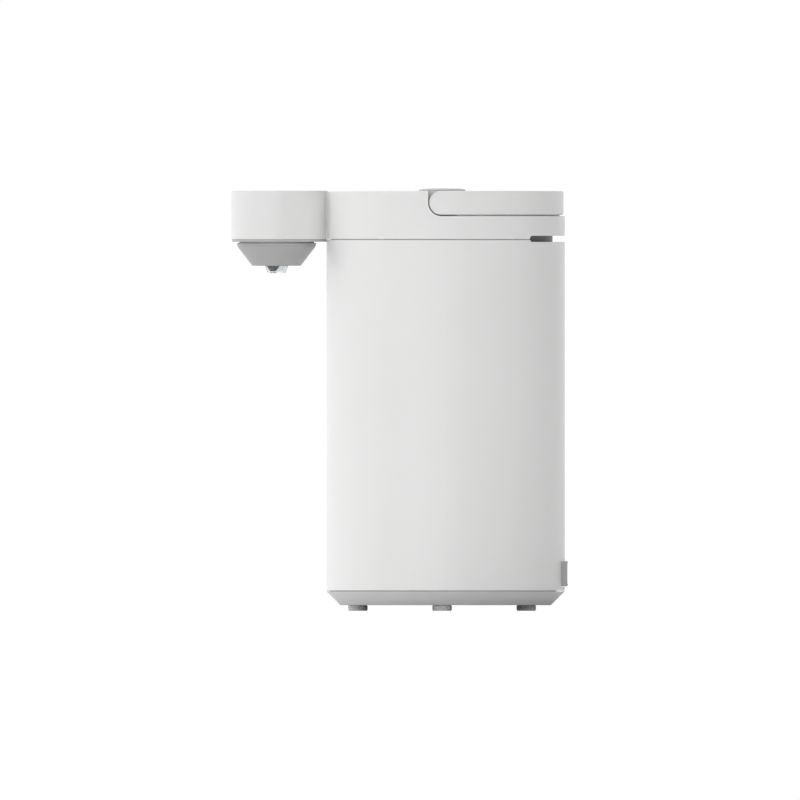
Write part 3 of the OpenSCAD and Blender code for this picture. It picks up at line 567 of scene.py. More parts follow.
@dataclass(frozen=True)
class HeatTinted(Finish):
    """Nickel alloy that has glowed: straw, brown and blue-grey oxide in slow clouds."""

    relief: float = 0.03 * MM
    bite: float = 0.8
    sheen: tuple[float, float] = (0.0, 0.2)

    def dress(self, paint: Paint) -> None:
        """Lays soot, the base colour, straw and blue-grey over a slow noise.

        Args:
            paint: The material in the making.
        """
        soot, straw, blue_grey = (0.10, 0.09, 0.10), (0.33, 0.22, 0.11), (0.13, 0.14, 0.19)
        self.emboss(paint, paint.group(Detail.GRAIN, Scale=1400.0)["Height"])
        cloud = paint.noise(paint.place(), Scale=55.0, Detail=5.0)
        oxide = paint.ramp(cloud, [(0.30, soot), (0.46, self.colour), (0.58, straw), (0.72, blue_grey)])
        paint.set(Metallic=0.85, Base_Color=oxide, Roughness=self.gloss(paint, cloud))


@dataclass(frozen=True)
class ClearMoulding(Finish):
    """Clear moulded plastic with a breath of haze in its gloss."""

    bite: float = 0.2
    sheen: tuple[float, float] = (0.0, 0.06)

    def dress(self, paint: Paint) -> None:
        """Lets light through and adds the haze.

        Args:
            paint: The material in the making.
        """
        grain = paint.group(Detail.GRAIN, Scale=500.0)
        self.emboss(paint, grain["Height"])
        paint.set(Transmission_Weight=1.0, IOR=1.49, Roughness=self.gloss(paint, grain["Patch"]))


@dataclass(frozen=True)
class GlossPanel(Finish):
    """Smoked gloss window: deep colour, polished, with faint finger haze."""

    relief: float = 0.02 * MM
    bite: float = 0.05
    tones: tuple[float, float] = (1.0, 1.35)
    sheen: tuple[float, float] = (0.0, 0.16)

    def dress(self, paint: Paint) -> None:
        """Adds the polish, and the haze where the window has been touched.

        Args:
            paint: The material in the making.
        """
        touch = paint.noise(paint.place(), Scale=85.0, Detail=4.0, Distortion=0.6)
        self.emboss(paint, touch)
        paint.set(Coat_Weight=0.5, Coat_Roughness=0.03)
        paint.set(Base_Color=self.tint(paint, paint.spread(touch)), Roughness=self.gloss(paint, touch))


@dataclass(frozen=True)
class Felt(Finish):
    """Needled insulation felt: tangled fibres with painted shade in the hollows between them, needle pits and
    yellowish clouds.
    """

    relief: float = 0.35 * MM
    bite: float = 0.8
    tones: tuple[float, float] = (0.85, 1.12)
    # Share and tone of the painted shade in the hollows between the fibres.
    wear_and_shade: float = 0.35
    worn_and_shaded: float = 0.5

    def dress(self, paint: Paint) -> None:
        """Adds fibres and pits to the relief, and paints shade into the hollows between the fibres.

        Args:
            paint: The material in the making.
        """
        at = paint.place()
        fibre = paint.noise(at, Scale=900.0, Detail=7.0, Distortion=2.5)
        self.emboss(paint, paint.math("ADD", fibre, paint.cells(at, Scale=240.0)))
        cloud = self.tint(paint, paint.spread(paint.noise(at, Scale=22.0, Detail=3.0)))
        # Painted shade: where the fibre noise is low, the colour goes down towards half its tone.
        painted_hollow_shade = paint.spread(fibre, self.wear_and_shade, 0.0)
        paint.set(Sheen_Weight=0.35, Sheen_Roughness=0.6)
        paint.set(Base_Color=paint.mix(painted_hollow_shade, cloud, self.tone(self.worn_and_shaded)))


@dataclass(frozen=True)
class SolderMask(Finish):
    """Printed board: green lacquer over copper runs, with pale pads in a staggered grid.

    Args:
        pitch: Distance in a cell after which the runs turn back.
        gap: Part of the pitch without copper.
        pad: Radius of a pad in its cell.
        tin: Linear colour of the pads.
    """

    relief: float = 0.03 * MM
    bite: float = 0.3
    tones: tuple[float, float] = (1.0, 1.9)
    pitch: float = 0.12
    gap: float = 0.075
    pad: float = 0.16
    tin: Colour = (0.55, 0.54, 0.50)

    def dress(self, paint: Paint) -> None:
        """Draws the runs as folded distances in square cells, and the pads as dots in round ones.

        Args:
            paint: The material in the making.
        """
        at = paint.place()
        runs = paint.math("PINGPONG", paint.cells(at, distance="CHEBYCHEV", Scale=110.0), self.pitch)
        copper = paint.math("GREATER_THAN", runs, self.gap)
        dots = paint.math("LESS_THAN", paint.cells(at, Scale=260.0), self.pad)
        self.emboss(paint, copper)
        paint.set(Base_Color=paint.mix(dots, self.tint(paint, copper), self.tin))


@dataclass(frozen=True)
class Print(Finish):
    """Screen-printed ink: dry and a little uneven.

    Args:
        glow: Strength of light that comes through it.
    """

    tones: tuple[float, float] = (0.88, 1.0)
    glow: float = 0.0

    def dress(self, paint: Paint) -> None:
        """Makes the ink uneven, and lit if it glows.

        Args:
            paint: The material in the making.
        """
        height = paint.group(Detail.GRAIN, Scale=3800.0)["Height"]
        self.emboss(paint, height)
        ink = self.tint(paint, paint.spread(height))
        paint.set(Base_Color=ink)
        if self.glow:
            paint.set(Emission_Color=ink, Emission_Strength=self.glow)


@dataclass(frozen=True)
class Webbing(Finish):
    """Woven tape or thread: crossed ribs of yarn, with painted shade in the valleys and a painted highlight on
    the crests.
    """

    relief: float = 0.2 * MM
    bite: float = 0.8
    # Painted shade and highlight: the weave's valleys get 0.62 of the colour, its crests 1.08.
    tones: tuple[float, float] = (0.62, 1.08)

    def dress(self, paint: Paint) -> None:
        """Crosses two waves, a slanted one and one up Z.

        Args:
            paint: The material in the making.
        """
        at = paint.place()
        ribs, across = (
            paint.add("ShaderNodeTexWave", bands_direction=run, Vector=at, Scale=scale, Distortion=wander)
            for run, scale, wander in (("DIAGONAL", 420.0, 1.2), ("Z", 260.0, 0.8))
        )
        height = paint.math("MULTIPLY", ribs.outputs["Fac"], across.outputs["Fac"])
        self.emboss(paint, height)
        # The colour follows the height: painted shade in the valleys, painted highlight on the crests.
        paint.set(Sheen_Weight=0.2, Base_Color=self.tint(paint, height))


@dataclass(frozen=True)
class WireColours(Finish):
    """Sleeves of the wires, told apart by where they run; the panel's cable keeps the base colour.

    Args:
        mains: Y behind which the mains wires run.
        earth: X between which the mains' earth wire runs, with live on its left and neutral on its right.
        bands: Stripes of the earth wire in a metre.
        green: Share of a stripe that is green.
        heater: Y between which the heater's wires run.
        motor: X and Y below which the motor's wires run.
        motor_split: X between the motor's two wires.
    """

    bite: float = 0.4
    sheen: tuple[float, float] = (-0.05, 0.05)
    mains: float = 80.0 * MM
    earth: tuple[float, float] = (-5.0 * MM, 5.0 * MM)
    bands: float = 240.0
    green: float = 0.6
    heater: tuple[float, float] = (60.0 * MM, 72.0 * MM)
    motor: tuple[float, float] = (-10.0 * MM, 45.0 * MM)
    motor_split: float = -15.5 * MM

    def dress(self, paint: Paint) -> None:
        """Picks each run's colour by comparing its place with the limits.

        Args:
            paint: The material in the making.
        """
        x, y, z = paint.split(paint.place())
        stripe = paint.math("FRACT", paint.math("MULTIPLY", paint.math("ADD", y, z), self.bands))
        yellow = paint.math("GREATER_THAN", stripe, self.green)
        earth = paint.mix(yellow, Wire.EARTH_GREEN.value, Wire.EARTH_YELLOW.value)
        live = paint.mix(paint.math("GREATER_THAN", x, self.earth[0]), Wire.LIVE_BROWN.value, earth)
        core = paint.mix(paint.math("GREATER_THAN", x, self.earth[1]), live, Wire.NEUTRAL_BLUE.value)
        second = paint.math("GREATER_THAN", x, self.motor_split)
        pair = paint.mix(second, Wire.MOTOR_BLACK.value, Wire.MOTOR_RED.value)
        behind = paint.math("GREATER_THAN", y, self.heater[0])
        before = paint.math("LESS_THAN", y, self.heater[1])
        tone = paint.mix(paint.math("MULTIPLY", behind, before), self.colour, Wire.HEATER_WHITE.value)
        left = paint.math("LESS_THAN", x, self.motor[0])
        front = paint.math("LESS_THAN", y, self.motor[1])
        tone = paint.mix(paint.math("MULTIPLY", left, front), tone, pair)
        tone = paint.mix(paint.math("GREATER_THAN", y, self.mains), tone, core)
        grain = paint.group(Detail.GRAIN, Scale=2000.0)
        self.emboss(paint, grain["Height"])
        paint.set(Base_Color=tone, Roughness=self.gloss(paint, grain["Patch"]))


FINISHES: dict[str, Finish] = {
    "shell_white": MouldedPlastic("satin_white", (0.82, 0.82, 0.815), 0.36, grain=3000.0, relief=0.006 * MM),
    "base_grey": MouldedPlastic("satin_grey", (0.42, 0.42, 0.42), 0.42, grain=2400.0, relief=0.012 * MM),
    "foot_rubber": Rubber("pale_rubber", (0.88, 0.88, 0.88), 0.68),
    "screw_steel": Metal("zinc_screw", (0.58, 0.59, 0.60), 0.32, 0.15 * MM, around=900.0, along=900.0),
    "clear_tip": ClearMoulding("clear_tip", (0.93, 0.95, 0.96), 0.04, 0.2 * MM),
    "dark_insert": MouldedPlastic("dark_insert", (0.035, 0.037, 0.04), 0.4, 0.2 * MM, dust=0.02),
    "panel_glass": GlossPanel("smoked_panel", (0.012, 0.013, 0.015), 0.05, 0.3 * MM),
    "board_green": SolderMask("solder_mask", (0.015, 0.10, 0.045), 0.3, 0.1 * MM),
    "board_dark": MouldedPlastic("component_black", (0.03, 0.031, 0.034), 0.5, 0.3 * MM, grain=1600.0),
    "inner_white": MouldedPlastic("inner_white", (0.72, 0.725, 0.73), 0.42, 0.3 * MM, grain=1500.0),
    "liner_steel": Metal("satin_stainless", (0.60, 0.60, 0.59), 0.27, around=14.0, along=5200.0),
    "silicone": Rubber("clear_silicone", (0.70, 0.71, 0.71), 0.46, 0.3 * MM, glow=0.25),
    "duct_grey": MouldedPlastic("duct_grey", (0.10, 0.104, 0.11), 0.45, 0.3 * MM, grain=1500.0),
    "spring_steel": Metal("drawn_wire", (0.56, 0.56, 0.56), 0.24, 0.05 * MM, around=2600.0, along=2600.0),
    "insulation": Felt("needled_felt", (0.50, 0.46, 0.36), 0.95),
    "heater_metal": Metal("cast_aluminium", (0.58, 0.59, 0.60), 0.48, around=420.0, along=420.0),
    "element_sheath": HeatTinted("heat_tinted_sheath", (0.24, 0.20, 0.17), 0.38, 0.2 * MM),
    "ceramic": MouldedPlastic("ceramic_body", (0.66, 0.62, 0.54), 0.62, grain=900.0, relief=0.04 * MM),
    "impeller_plastic": MouldedPlastic("impeller_red", (0.42, 0.10, 0.045), 0.34, 0.2 * MM, grain=1200.0),
    "magnet_dark": Metal("sintered_magnet", (0.16, 0.16, 0.17), 0.5, 0.2 * MM, around=1500.0, along=1500.0),
    "pin_brass": Metal("plated_brass", (0.76, 0.56, 0.24), 0.2, 0.1 * MM, around=1800.0, along=300.0),
}

NODE_FINISHES: dict[str, Finish] = {
    "base_skirt": MouldedPlastic("skirt_grey", (0.61, 0.61, 0.61), 0.42, grain=2400.0, relief=0.012 * MM),
    "underside_plate": MouldedPlastic("plate_grey", (0.52, 0.52, 0.52), 0.4, grain=2400.0, relief=0.012 * MM),
    "nozzle_shroud": MouldedPlastic("shroud_grey", (0.39, 0.39, 0.39), 0.34, grain=2400.0),
    "lid_button": MouldedPlastic("button_grey", (0.50, 0.50, 0.50), 0.30, grain=3000.0, relief=0.006 * MM),
    # Grey plastic, darkened further so that it also stands in for the shade inside the rear slot: part its
    # colour, part painted shade.
    "neck_ring": MouldedPlastic("ring_grey_with_painted_shade", (0.25, 0.25, 0.252), 0.42, 0.3 * MM, grain=1500.0),
    "lid_inner_cover": SpunMetal("spun_cover", (0.62, 0.62, 0.61), 0.24, along=3600.0),
    "inner_liner": SpunMetal(
        "spun_liner", (0.62, 0.62, 0.61), 0.27, relief=0.0015 * MM, tones=(0.95, 1.0), along=2600.0
    ),
    "heater_plate": SpunMetal("turned_plate", (0.58, 0.59, 0.60), 0.42, along=1800.0),
    "wiring": WireColours("wire_sleeves", (0.30, 0.30, 0.31), 0.42, 0.2 * MM),
}


@dataclass
class Dresser:
    """Gives every piece its finish: its own where it has one, else that of its material slot.

    Args:
        by_slot: Finish by slot name.
        by_node: Finish by node name, for nodes that differ from their slot's.
        made: Materials by finish name, filled as they are needed.
    """

    by_slot: dict[str, Finish]
    by_node: dict[str, Finish]
    made: dict[str, bpy.types.Material] = field(default_factory=dict)

    def material(self, finish: Finish) -> bpy.types.Material:
        """Makes or finds a finish's material.

        Args:
            finish: The finish.

        Returns:
            The material.
        """
        if finish.name not in self.made:
            self.made[finish.name] = finish.build()
        return self.made[finish.name]

    def dress_nodes(self) -> None:
        """Puts the finishes on all CAD nodes, slot by slot."""
        for name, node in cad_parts.items():
            for place in node.material_slots:
                slot = place.material.name.split(".")[0]
                place.material = self.material(self.by_node.get(name, self.by_slot[slot]))
                LOG.info("%s: %s", name, place.material.name)


# ---------------------------------------------------------------- new pieces


def grid_faces(rows: int, cols: int, closed: bool) -> list[list[int]]:
    """Corners of the quads of a grid of points numbered row by row, whose last column joins the first.

    Face (i, j) joins points i, i + 1 of columns j, j + 1.

    Args:
        rows: Number of rows.
        cols: Number of columns.
        closed: Whether the last row joins the first as well.

    Returns:
        Four corner numbers for each face.
    """
    i = np.arange(rows if closed else rows - 1)[:, None]
    j = np.arange(cols)[None, :]
    next_i, next_j = (i + 1) % rows, (j + 1) % cols
    corners = [i * cols + j, next_i * cols + j, next_i * cols + next_j, i * cols + next_j]
    return np.stack([c.ravel() for c in corners], axis=1).tolist()


def line(x0: float, y0: float, x1: float, y1: float) -> np.ndarray:
    """The two ends of a straight stroke."""
    return np.array([[x0, y0], [x1, y1]], dtype=float)


def arc(x: float, y: float, radius: float, start: float, end: float, count: int) -> np.ndarray:
    """Points on a circle: the centre plus the radius times cosine and sine of an even run of angles.

    Args:
        x: Centre.
        y: Centre.
        radius: Radius.
        start: First angle in degrees.
        end: Last angle in degrees.
        count: Number of points.

    Returns:
        The points, one row each.
    """
    t = np.radians(np.linspace(start, end, count))
    return np.stack([x + radius * np.cos(t), y + radius * np.sin(t)], axis=1)


def wound(
    centre: tuple[float, float], radius: np.ndarray, angle: np.ndarray, height: np.ndarray
) -> np.ndarray:
    """Points about an upright axis: the centre plus the radius times cosine and sine of the angle.

    Args:
        centre: X and Y of the axis.
        radius: Distance from it.
        angle: Angle round it, in radians.
        height: Height of the points.

    Returns:
        A grid of points; each value may change by row, by column or by both.
    """
    x = centre[0] + radius * np.cos(angle)
    y = centre[1] + radius * np.sin(angle)
    return np.stack(np.broadcast_arrays(x, y, height), axis=2)


@dataclass
class Piece:
    """One new mesh piece, gathered from patches of points and faces.

    Args:
        name: Object name.
        body: CAD body that it moves with.
        slot: Material slot that it belongs to; not used.
        points: Patches of points, in metres.
        faces: Corner numbers of all faces so far.
        count: Number of points so far.
    """

    name: str
    body: str
    slot: str
    points: list[np.ndarray] = field(default_factory=list)
    faces: list[list[int]] = field(default_factory=list)
    count: int = 0

    def patch(self, points: np.ndarray, faces: list[list[int]]) -> None:
        """Adds a patch.

        Args:
            points: Its points, in metres.
            faces: Its faces, numbered from its own first point.
        """
        self.points.append(points.reshape(-1, 3))
        self.faces += [[corner + self.count for corner in face] for face in faces]
        self.count += len(self.points[-1])

    def tube(self, points: np.ndarray, closed: bool = False) -> None:
        """A section carried along a path: quads between its places, and a face at each end.

        Args:
            points: Grid with a row for each place and the section's points as columns.
            closed: Whether the last place joins the first; then there are no ends.
        """
        rows, cols = points.shape[:2]
        faces = grid_faces(rows, cols, closed)
        if not closed:
            ring = np.arange(cols)
            faces += [ring.tolist(), (ring[::-1] + (rows - 1) * cols).tolist()]
        self.patch(points, faces)

    def slab(self, outline: np.ndarray, low: float, high: float) -> None:
        """A flat prism: the outline at its upper and its lower height, joined by walls.

        Args:
            outline: Corners in X and Y, counter-clockwise from above.
            low: Height of the under face.
            high: Height of the upper face.
        """
        self.tube(np.stack([np.column_stack([outline, np.full(len(outline), z)]) for z in (high, low)]))

    def stroke(self, path: np.ndarray, width: float, low: float, high: float, closed: bool = False) -> None:
        """A flat band along a path: each point is moved half the width to both sides at two heights.

        The sideways direction is the path's slope turned a quarter.

        Args:
            path: Points in X and Y.
            width: Width of the band.
            low: Height of its under face.
            high: Height of its upper face.
            closed: Whether the last point joins the first.
        """
        if closed:
            slope = np.roll(path, -1, axis=0) - np.roll(path, 1, axis=0)
        else:
            slope = np.gradient(path, axis=0)
        slope = slope / np.linalg.norm(slope, axis=1, keepdims=True)
        side = np.stack([-slope[:, 1], slope[:, 0]], axis=1) * width / 2
        left, right = path + side, path - side
        corners = ((left, low), (right, low), (right, high), (left, high))
        columns = [np.column_stack([edge, np.full(len(path), z)]) for edge, z in corners]
        self.tube(np.stack(columns, axis=1), closed)

    def build(self, material: bpy.types.Material, smooth: bool = False) -> bpy.types.Object:
        """Makes the object, gives it its material and its body.

        Args:
            material: Its finish's material.
            smooth: Whether its faces shade smoothly.

        Returns:
            The object.
        """
        mesh = bpy.data.meshes.new(self.name)
        mesh.from_pydata(np.concatenate(self.points).tolist(), [], self.faces)
        mesh.validate()
        mesh.polygons.foreach_set("use_smooth", np.full(len(mesh.polygons), smooth))
        mesh.materials.append(material)
        piece = bpy.data.objects.new(self.name, mesh)
        bpy.context.scene.collection.objects.link(piece)
        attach(piece, self.body)
        LOG.info("%s: %d faces on %s", self.name, len(mesh.polygons), self.body)
        return piece


@dataclass
class PanelMarks:
    """Digits and symbols under the control panel's glossy skin, read from the spout side.

    Args:
        dresser: Where materials come from.
        digit: Width and height of a digit.
        bar: Width of a digit's segment.
        taper: Length of a segment's pointed end, and half its width, as a share of the bar.
        gap: What a segment stops short of a corner, as a share of the bar.
        windows: Middle of each digit in X.
        row: Middle of the digits in Y.
        shown: Letters of the lit segments of each digit.
        degree: Radius and pen width of the degree ring.
        degree_rise: How far its middle lies above the middle of the digits.
        pen: Width of the symbols' strokes.
        proud: Height of the print above the glass.
        sunk: Depth of the print in the glass.
        places: Middle of each symbol, in millimetres.
    """

    dresser: Dresser
    digit: tuple[float, float] = (4.4 * MM, 8.8 * MM)
    bar: float = 0.9 * MM
    taper: float = 0.44
    gap: float = 0.12
    windows: tuple[float, ...] = (-8.9 * MM, -2.5 * MM, 3.9 * MM, 10.3 * MM)
    row: float = -107.7 * MM
    shown: tuple[str, ...] = ("", "abcdfg", "abcdefg", "")
    degree: tuple[float, float] = (0.6 * MM, 0.25 * MM)
    degree_rise: float = 3.6 * MM
    pen: float = 0.5 * MM
    proud: float = 0.03 * MM
    sunk: float = 0.005 * MM
    places: dict[Glyph, tuple[float, float]] = field(
        default_factory=lambda: {
            Glyph.MINUS: (-11.0, -124.5),
            Glyph.PLUS: (11.0, -124.5),
            Glyph.LOCK: (-20.5, -104.0),
            Glyph.HEAT: (20.5, -104.0),
            Glyph.POWER: (-14.5, -88.0),
            Glyph.CUP: (14.5, -88.0),
            Glyph.DROP: (0.0, -83.7),
        }
    )

    def segments(self) -> dict[str, np.ndarray]:
        """Outlines of the seven segments about a digit's middle.

        A segment is a bar between two corners of the digit's frame, pointed at both ends.

        Returns:
            Six corners for each segment letter.
        """
        half_w, half_h = (self.digit[0] - self.bar) / 2, (self.digit[1] - self.bar) / 2
        ends = {
            "a": line(-half_w, half_h, half_w, half_h),
            "b": line(half_w, half_h, half_w, 0.0),
            "c": line(half_w, 0.0, half_w, -half_h),
            "d": line(-half_w, -half_h, half_w, -half_h),
            "e": line(-half_w, 0.0, -half_w, -half_h),
            "f": line(-half_w, half_h, -half_w, 0.0),
            "g": line(-half_w, 0.0, half_w, 0.0),
        }
        shapes = {}
        for letter, (a, b) in ends.items():
            along = (b - a) / np.linalg.norm(b - a) * self.bar
            side = np.array([-along[1], along[0]]) * self.taper
            a, b, inset = a + along * self.gap, b - along * self.gap, along * self.taper
            corners = [a, a + inset - side, b - inset - side, b, b - inset + side, a + inset + side]
            shapes[letter] = np.array(corners)
        return shapes

    def strokes(self, glyph: Glyph) -> list[tuple[np.ndarray, bool]]:
        """Paths of a symbol's strokes in millimetres about its middle.

        The lock's box is four quarter circles. The heat waves are sines of the height. The drop is a circle
        whose half-width, the sine of the angle, is narrowed towards the tip by a power of the half-angle's
        sine.

        Args:
            glyph: Which symbol.

        Returns:
            Each path, and whether it is closed.
        """
        bar = (line(-2.3, 0.0, 2.3, 0.0), False)
        if glyph is Glyph.MINUS:
            return [bar]
        if glyph is Glyph.PLUS:
            return [bar, (line(0.0, 0.27, 0.0, 2.3), False), (line(0.0, -2.3, 0.0, -0.27), False)]
        if glyph is Glyph.LOCK:
            corners = ((1.7, -0.1, 0), (-1.7, -0.1, 90), (-1.7, -2.3, 180), (1.7, -2.3, 270))
            box = np.concatenate([arc(x, y, 0.5, start, start + 90, 7) for x, y, start in corners])
            legs = line(1.4, 0.67, 1.4, 1.3), line(-1.4, 1.3, -1.4, 0.67)
            shackle = np.concatenate([legs[0], arc(0.0, 1.5, 1.4, 0, 180, 21), legs[1]])
            return [(box, True), (shackle, False), (line(0.0, -0.7, 0.0, -1.8), False)]
        if glyph is Glyph.HEAT:
            y = np.linspace(-2.5, 2.5, 31)
            return [(np.stack([x + 0.45 * np.sin(y * 1.9), y], axis=1), False) for x in (-1.9, 0.0, 1.9)]
        if glyph is Glyph.POWER:
            return [(arc(0.0, -0.3, 2.3, 125, 415, 41), False), (line(0.0, 0.4, 0.0, 2.7), False)]
        if glyph is Glyph.CUP:
            cup = np.array([[-2.5, 1.9], [-1.9, -2.2], [1.3, -2.2], [1.9, 1.9]])
            return [(cup, True), (arc(1.95, 0.2, 1.0, 75, -95, 15), False)]
        t = np.linspace(0.0, 2 * np.pi, 48, endpoint=False)
        drop = np.stack([3.3 * np.sin(t) * np.abs(np.sin(t / 2)) ** 1.4, 2.9 * np.cos(t)], axis=1)
        return [(drop[::-1], True), (arc(0.0, 0.0, 6.8, 0, 355, 72), True)]

    def build(self) -> None:
        """Builds the lit digits, the unlit ones and the printed symbols on the glass."""
        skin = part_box("control_panel")[1][2]
        low, high = skin - self.sunk, skin + self.proud
        lit = Piece("panel_digits_lit", "pot", "panel_glass")
        unlit = Piece("panel_digits_unlit", "pot", "panel_glass")
        symbols = Piece("panel_symbols", "pot", "panel_glass")
        for x, letters in zip(self.windows, self.shown):
            for letter, shape in self.segments().items():
                target = lit if letter in letters else unlit
                target.slab(shape + np.array([x, self.row]), low, high)
        radius, pen = self.degree
        ring = arc(sum(self.windows[2:]) / 2, self.row + self.degree_rise, radius, 0, 345, 24)
        lit.stroke(ring, pen, low, high, True)
        for glyph, (x, y) in self.places.items():
            for path, closed in self.strokes(glyph):
                symbols.stroke((path + np.array([x, y])) * MM, self.pen, low, high, closed)
        lit.build(self.dresser.material(Print("lit_segment", (0.45, 0.80, 0.95), 0.3, 0.05 * MM, glow=1.4)))
        unlit.build(self.dresser.material(Print("unlit_segment", (0.035, 0.037, 0.04), 0.25, 0.05 * MM)))
        symbols.build(self.dresser.material(Print("panel_ink", (0.62, 0.64, 0.65), 0.45, 0.05 * MM)))


@dataclass(frozen=True)
class Sleeve:
    """Place of the plain sleeve round the tank.

    Args:
        middle: X and Y of its axis.
        outer: Its outer radius.
        foot: Height of its lower end.
        top: Height of its upper end.
    """

    middle: tuple[float, float]
    outer: float
    foot: float
    top: float

    @classmethod
    def read(cls) -> "Sleeve":
        """Measures it in the frame."""
        low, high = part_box("insulation_sleeve")
        return cls((0.0, (low[1] + high[1]) / 2), (high[0] - low[0]) / 2, low[2], high[2])


@dataclass
class FeltWrap:
    """Needled felt strip wound once round the tank, held by three flat straps and laced up its rear seam.

    Args:
        dresser: Where materials come from.
        sleeve: The plain sleeve that it takes the place of.
        thick: Thickness of the sleeve.
        clear: Gap between the felt and the tank.
        grid: Points of the felt round the tank and up it.
        straps: Height of each strap above the strip's foot.
        strap: Room that a strap takes on the felt.
        band: Width and thickness of a strap's webbing.
        sink: How far inside the sleeve's radius a strap and its sewn-down end lie.
        tail: First and last angle of that end, in degrees.
        dip: How deep a strap draws the felt in.
        well: Half-width of its well, as a share of that room.
        ripple: Depth of the slow ripple.
        rounding: Depth and reach of the rounding of the upper and lower edge.
        seam: Gap of the rear seam.
        pitch: Distance between two lacing stitches.
        ends: Distance of the lowest and of the highest stitch from the strip's ends.
        stitch: Width and rise of a stitch.
        arch: How deep a stitch's ends lie in the felt, and how high it arches over them.
        thread: Radius of the thread.
    """

    dresser: Dresser
    sleeve: Sleeve = field(default_factory=Sleeve.read)
    thick: float = 3.0 * MM
    clear: float = 0.05 * MM
    grid: tuple[int, int] = (241, 116)
    straps: tuple[float, ...] = (30.0 * MM, 115.0 * MM, 200.0 * MM)
    strap: float = 12.0 * MM
    band: tuple[float, float] = (11.0 * MM, 0.38 * MM)
    sink: tuple[float, float] = (0.45 * MM, 0.05 * MM)
    tail: tuple[float, float] = (94.0, 112.0)
    dip: float = 0.9 * MM
    well: float = 0.62
    ripple: float = 0.22 * MM
    rounding: tuple[float, float] = (1.1 * MM, 1.6 * MM)
    seam: float = 1.6 * MM
    pitch: float = 9.0 * MM
    ends: tuple[float, float] = (8.0 * MM, 6.0 * MM)
    stitch: tuple[float, float] = (7.0 * MM, 3.0 * MM)
    arch: tuple[float, float] = (1.3 * MM, 0.8 * MM)
    thread: float = 0.35 * MM

    def outer_radius(self, angle: np.ndarray, rise: np.ndarray) -> np.ndarray:
        """Outer radius of the felt: full between the straps, drawn in by a smooth well under each strap.

        A well is e to minus the fourth power of the distance from the strap's middle over its half-width.
        A slow ripple, the product of two sines, and a rounding that falls off by e from both edges come
        off as well.

        Args:
            angle: Angles round the tank.
            rise: Heights above the strip's foot.

        Returns:
            The radius for each angle and height.
        """
        wells = sum(np.exp(-(((rise - at) / (self.well * self.strap)) ** 4)) for at in self.straps)
        waves = 0.5 + 0.5 * np.sin(17 * angle + 60 * rise) * np.sin(5 * angle - 95 * rise)
        ripple = self.ripple * waves * (1 - 0.7 * wells)
        depth, reach = self.rounding
        near_edge = np.minimum(rise, self.sleeve.top - self.sleeve.foot - rise)
        return self.sleeve.outer - self.dip * wells - ripple - depth * np.exp(-near_edge / reach)

    def felt(self) -> bpy.types.Object:
        """The strip: a loop of outer and inner heights carried round the tank from seam to seam.

        Returns:
            The object.
        """
        foot, top, outer = self.sleeve.foot, self.sleeve.top, self.sleeve.outer
        half = self.seam / 2 / outer
        angle = np.linspace(np.pi / 2 + half, 5 * np.pi / 2 - half, self.grid[0])[:, None]
        rise = np.linspace(0.0, top - foot, self.grid[1])[None, :]
        out = self.outer_radius(angle, rise)
        back = np.full_like(out, outer - self.thick + self.clear)
        radius = np.concatenate([out, back[:, ::-1]], axis=1)
        height = foot + np.concatenate([rise, rise[:, ::-1]], axis=1)
        rows, cols = radius.shape
        j = np.arange(cols // 2 - 1)
        first = np.stack([j, j + 1, cols - 2 - j, cols - 1 - j], axis=1)
        last = first[:, ::-1] + (rows - 1) * cols
        piece = Piece("insulation_felt", "pot", "insulation")
        points = wound(self.sleeve.middle, radius, angle, height)
        piece.patch(points, [*grid_faces(rows, cols, False), *first.tolist(), *last.tolist()])
        felt = piece.build(self.dresser.material(FINISHES["insulation"]), True)
        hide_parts("insulation_sleeve")
        return felt

    def webbing(self) -> None:
        """The straps: a flat ring in each well, and a doubled end that is sewn down beside the seam."""
        piece = Piece("insulation_straps", "pot", "insulation")
        width, thick = self.band
        rise = np.array([-0.5, 0.5, 0.5, -0.5])[None, :] * width
        deep = np.array([0.0, 0.0, 1.0, 1.0])[None, :] * thick
        ring = np.linspace(0.0, 360.0, 216, endpoint=False)
        tail = np.linspace(*self.tail, 24)
        for at in self.straps:
            for turn, sink, closed in ((ring, self.sink[0], True), (tail, self.sink[1], False)):
                radius, angle = self.sleeve.outer - sink - deep, np.radians(turn)[:, None]
                piece.tube(wound(self.sleeve.middle, radius, angle, self.sleeve.foot + at + rise), closed)
        piece.build(self.dresser.material(Webbing("strap_webbing", (0.60, 0.59, 0.55), 0.8, 0.1 * MM)))

    def lacing(self) -> None:
        """The seam's stitches: thread arches that cross the gap slantwise, each a tube over a half sine.

        Stitches that would meet a strap are left out.
        """
        piece = Piece("insulation_lacing", "pot", "insulation")
        t = np.linspace(0.0, 1.0, 13)[:, None]
        around = np.radians(np.arange(0.0, 360.0, 60.0))[None, :]
        (width, climb), (deep, high) = self.stitch, self.arch
        foot, top = self.sleeve.foot, self.sleeve.top
        for level in np.arange(foot + self.ends[0], top - self.ends[1], self.pitch):
            if min(abs(level + climb / 2 - foot - at) for at in self.straps) < 0.7 * self.strap:
                continue
            x = (t - 0.5) * width
            wall = np.sqrt((self.sleeve.outer - deep) ** 2 - x**2)
            y = self.sleeve.middle[1] + wall + high * np.sin(np.pi * t) + self.thread * np.cos(around)
            z = level + climb * t - self.thread * np.sin(around)
            piece.tube(np.stack(np.broadcast_arrays(x, y, z), axis=2))
        piece.build(self.dresser.material(Webbing("lacing_thread", (0.66, 0.63, 0.55), 0.7, 0.05 * MM)), True)

    def build(self) -> None:
        """Builds the felt, its straps and its lacing."""
        self.felt()
        self.webbing()
        self.lacing()


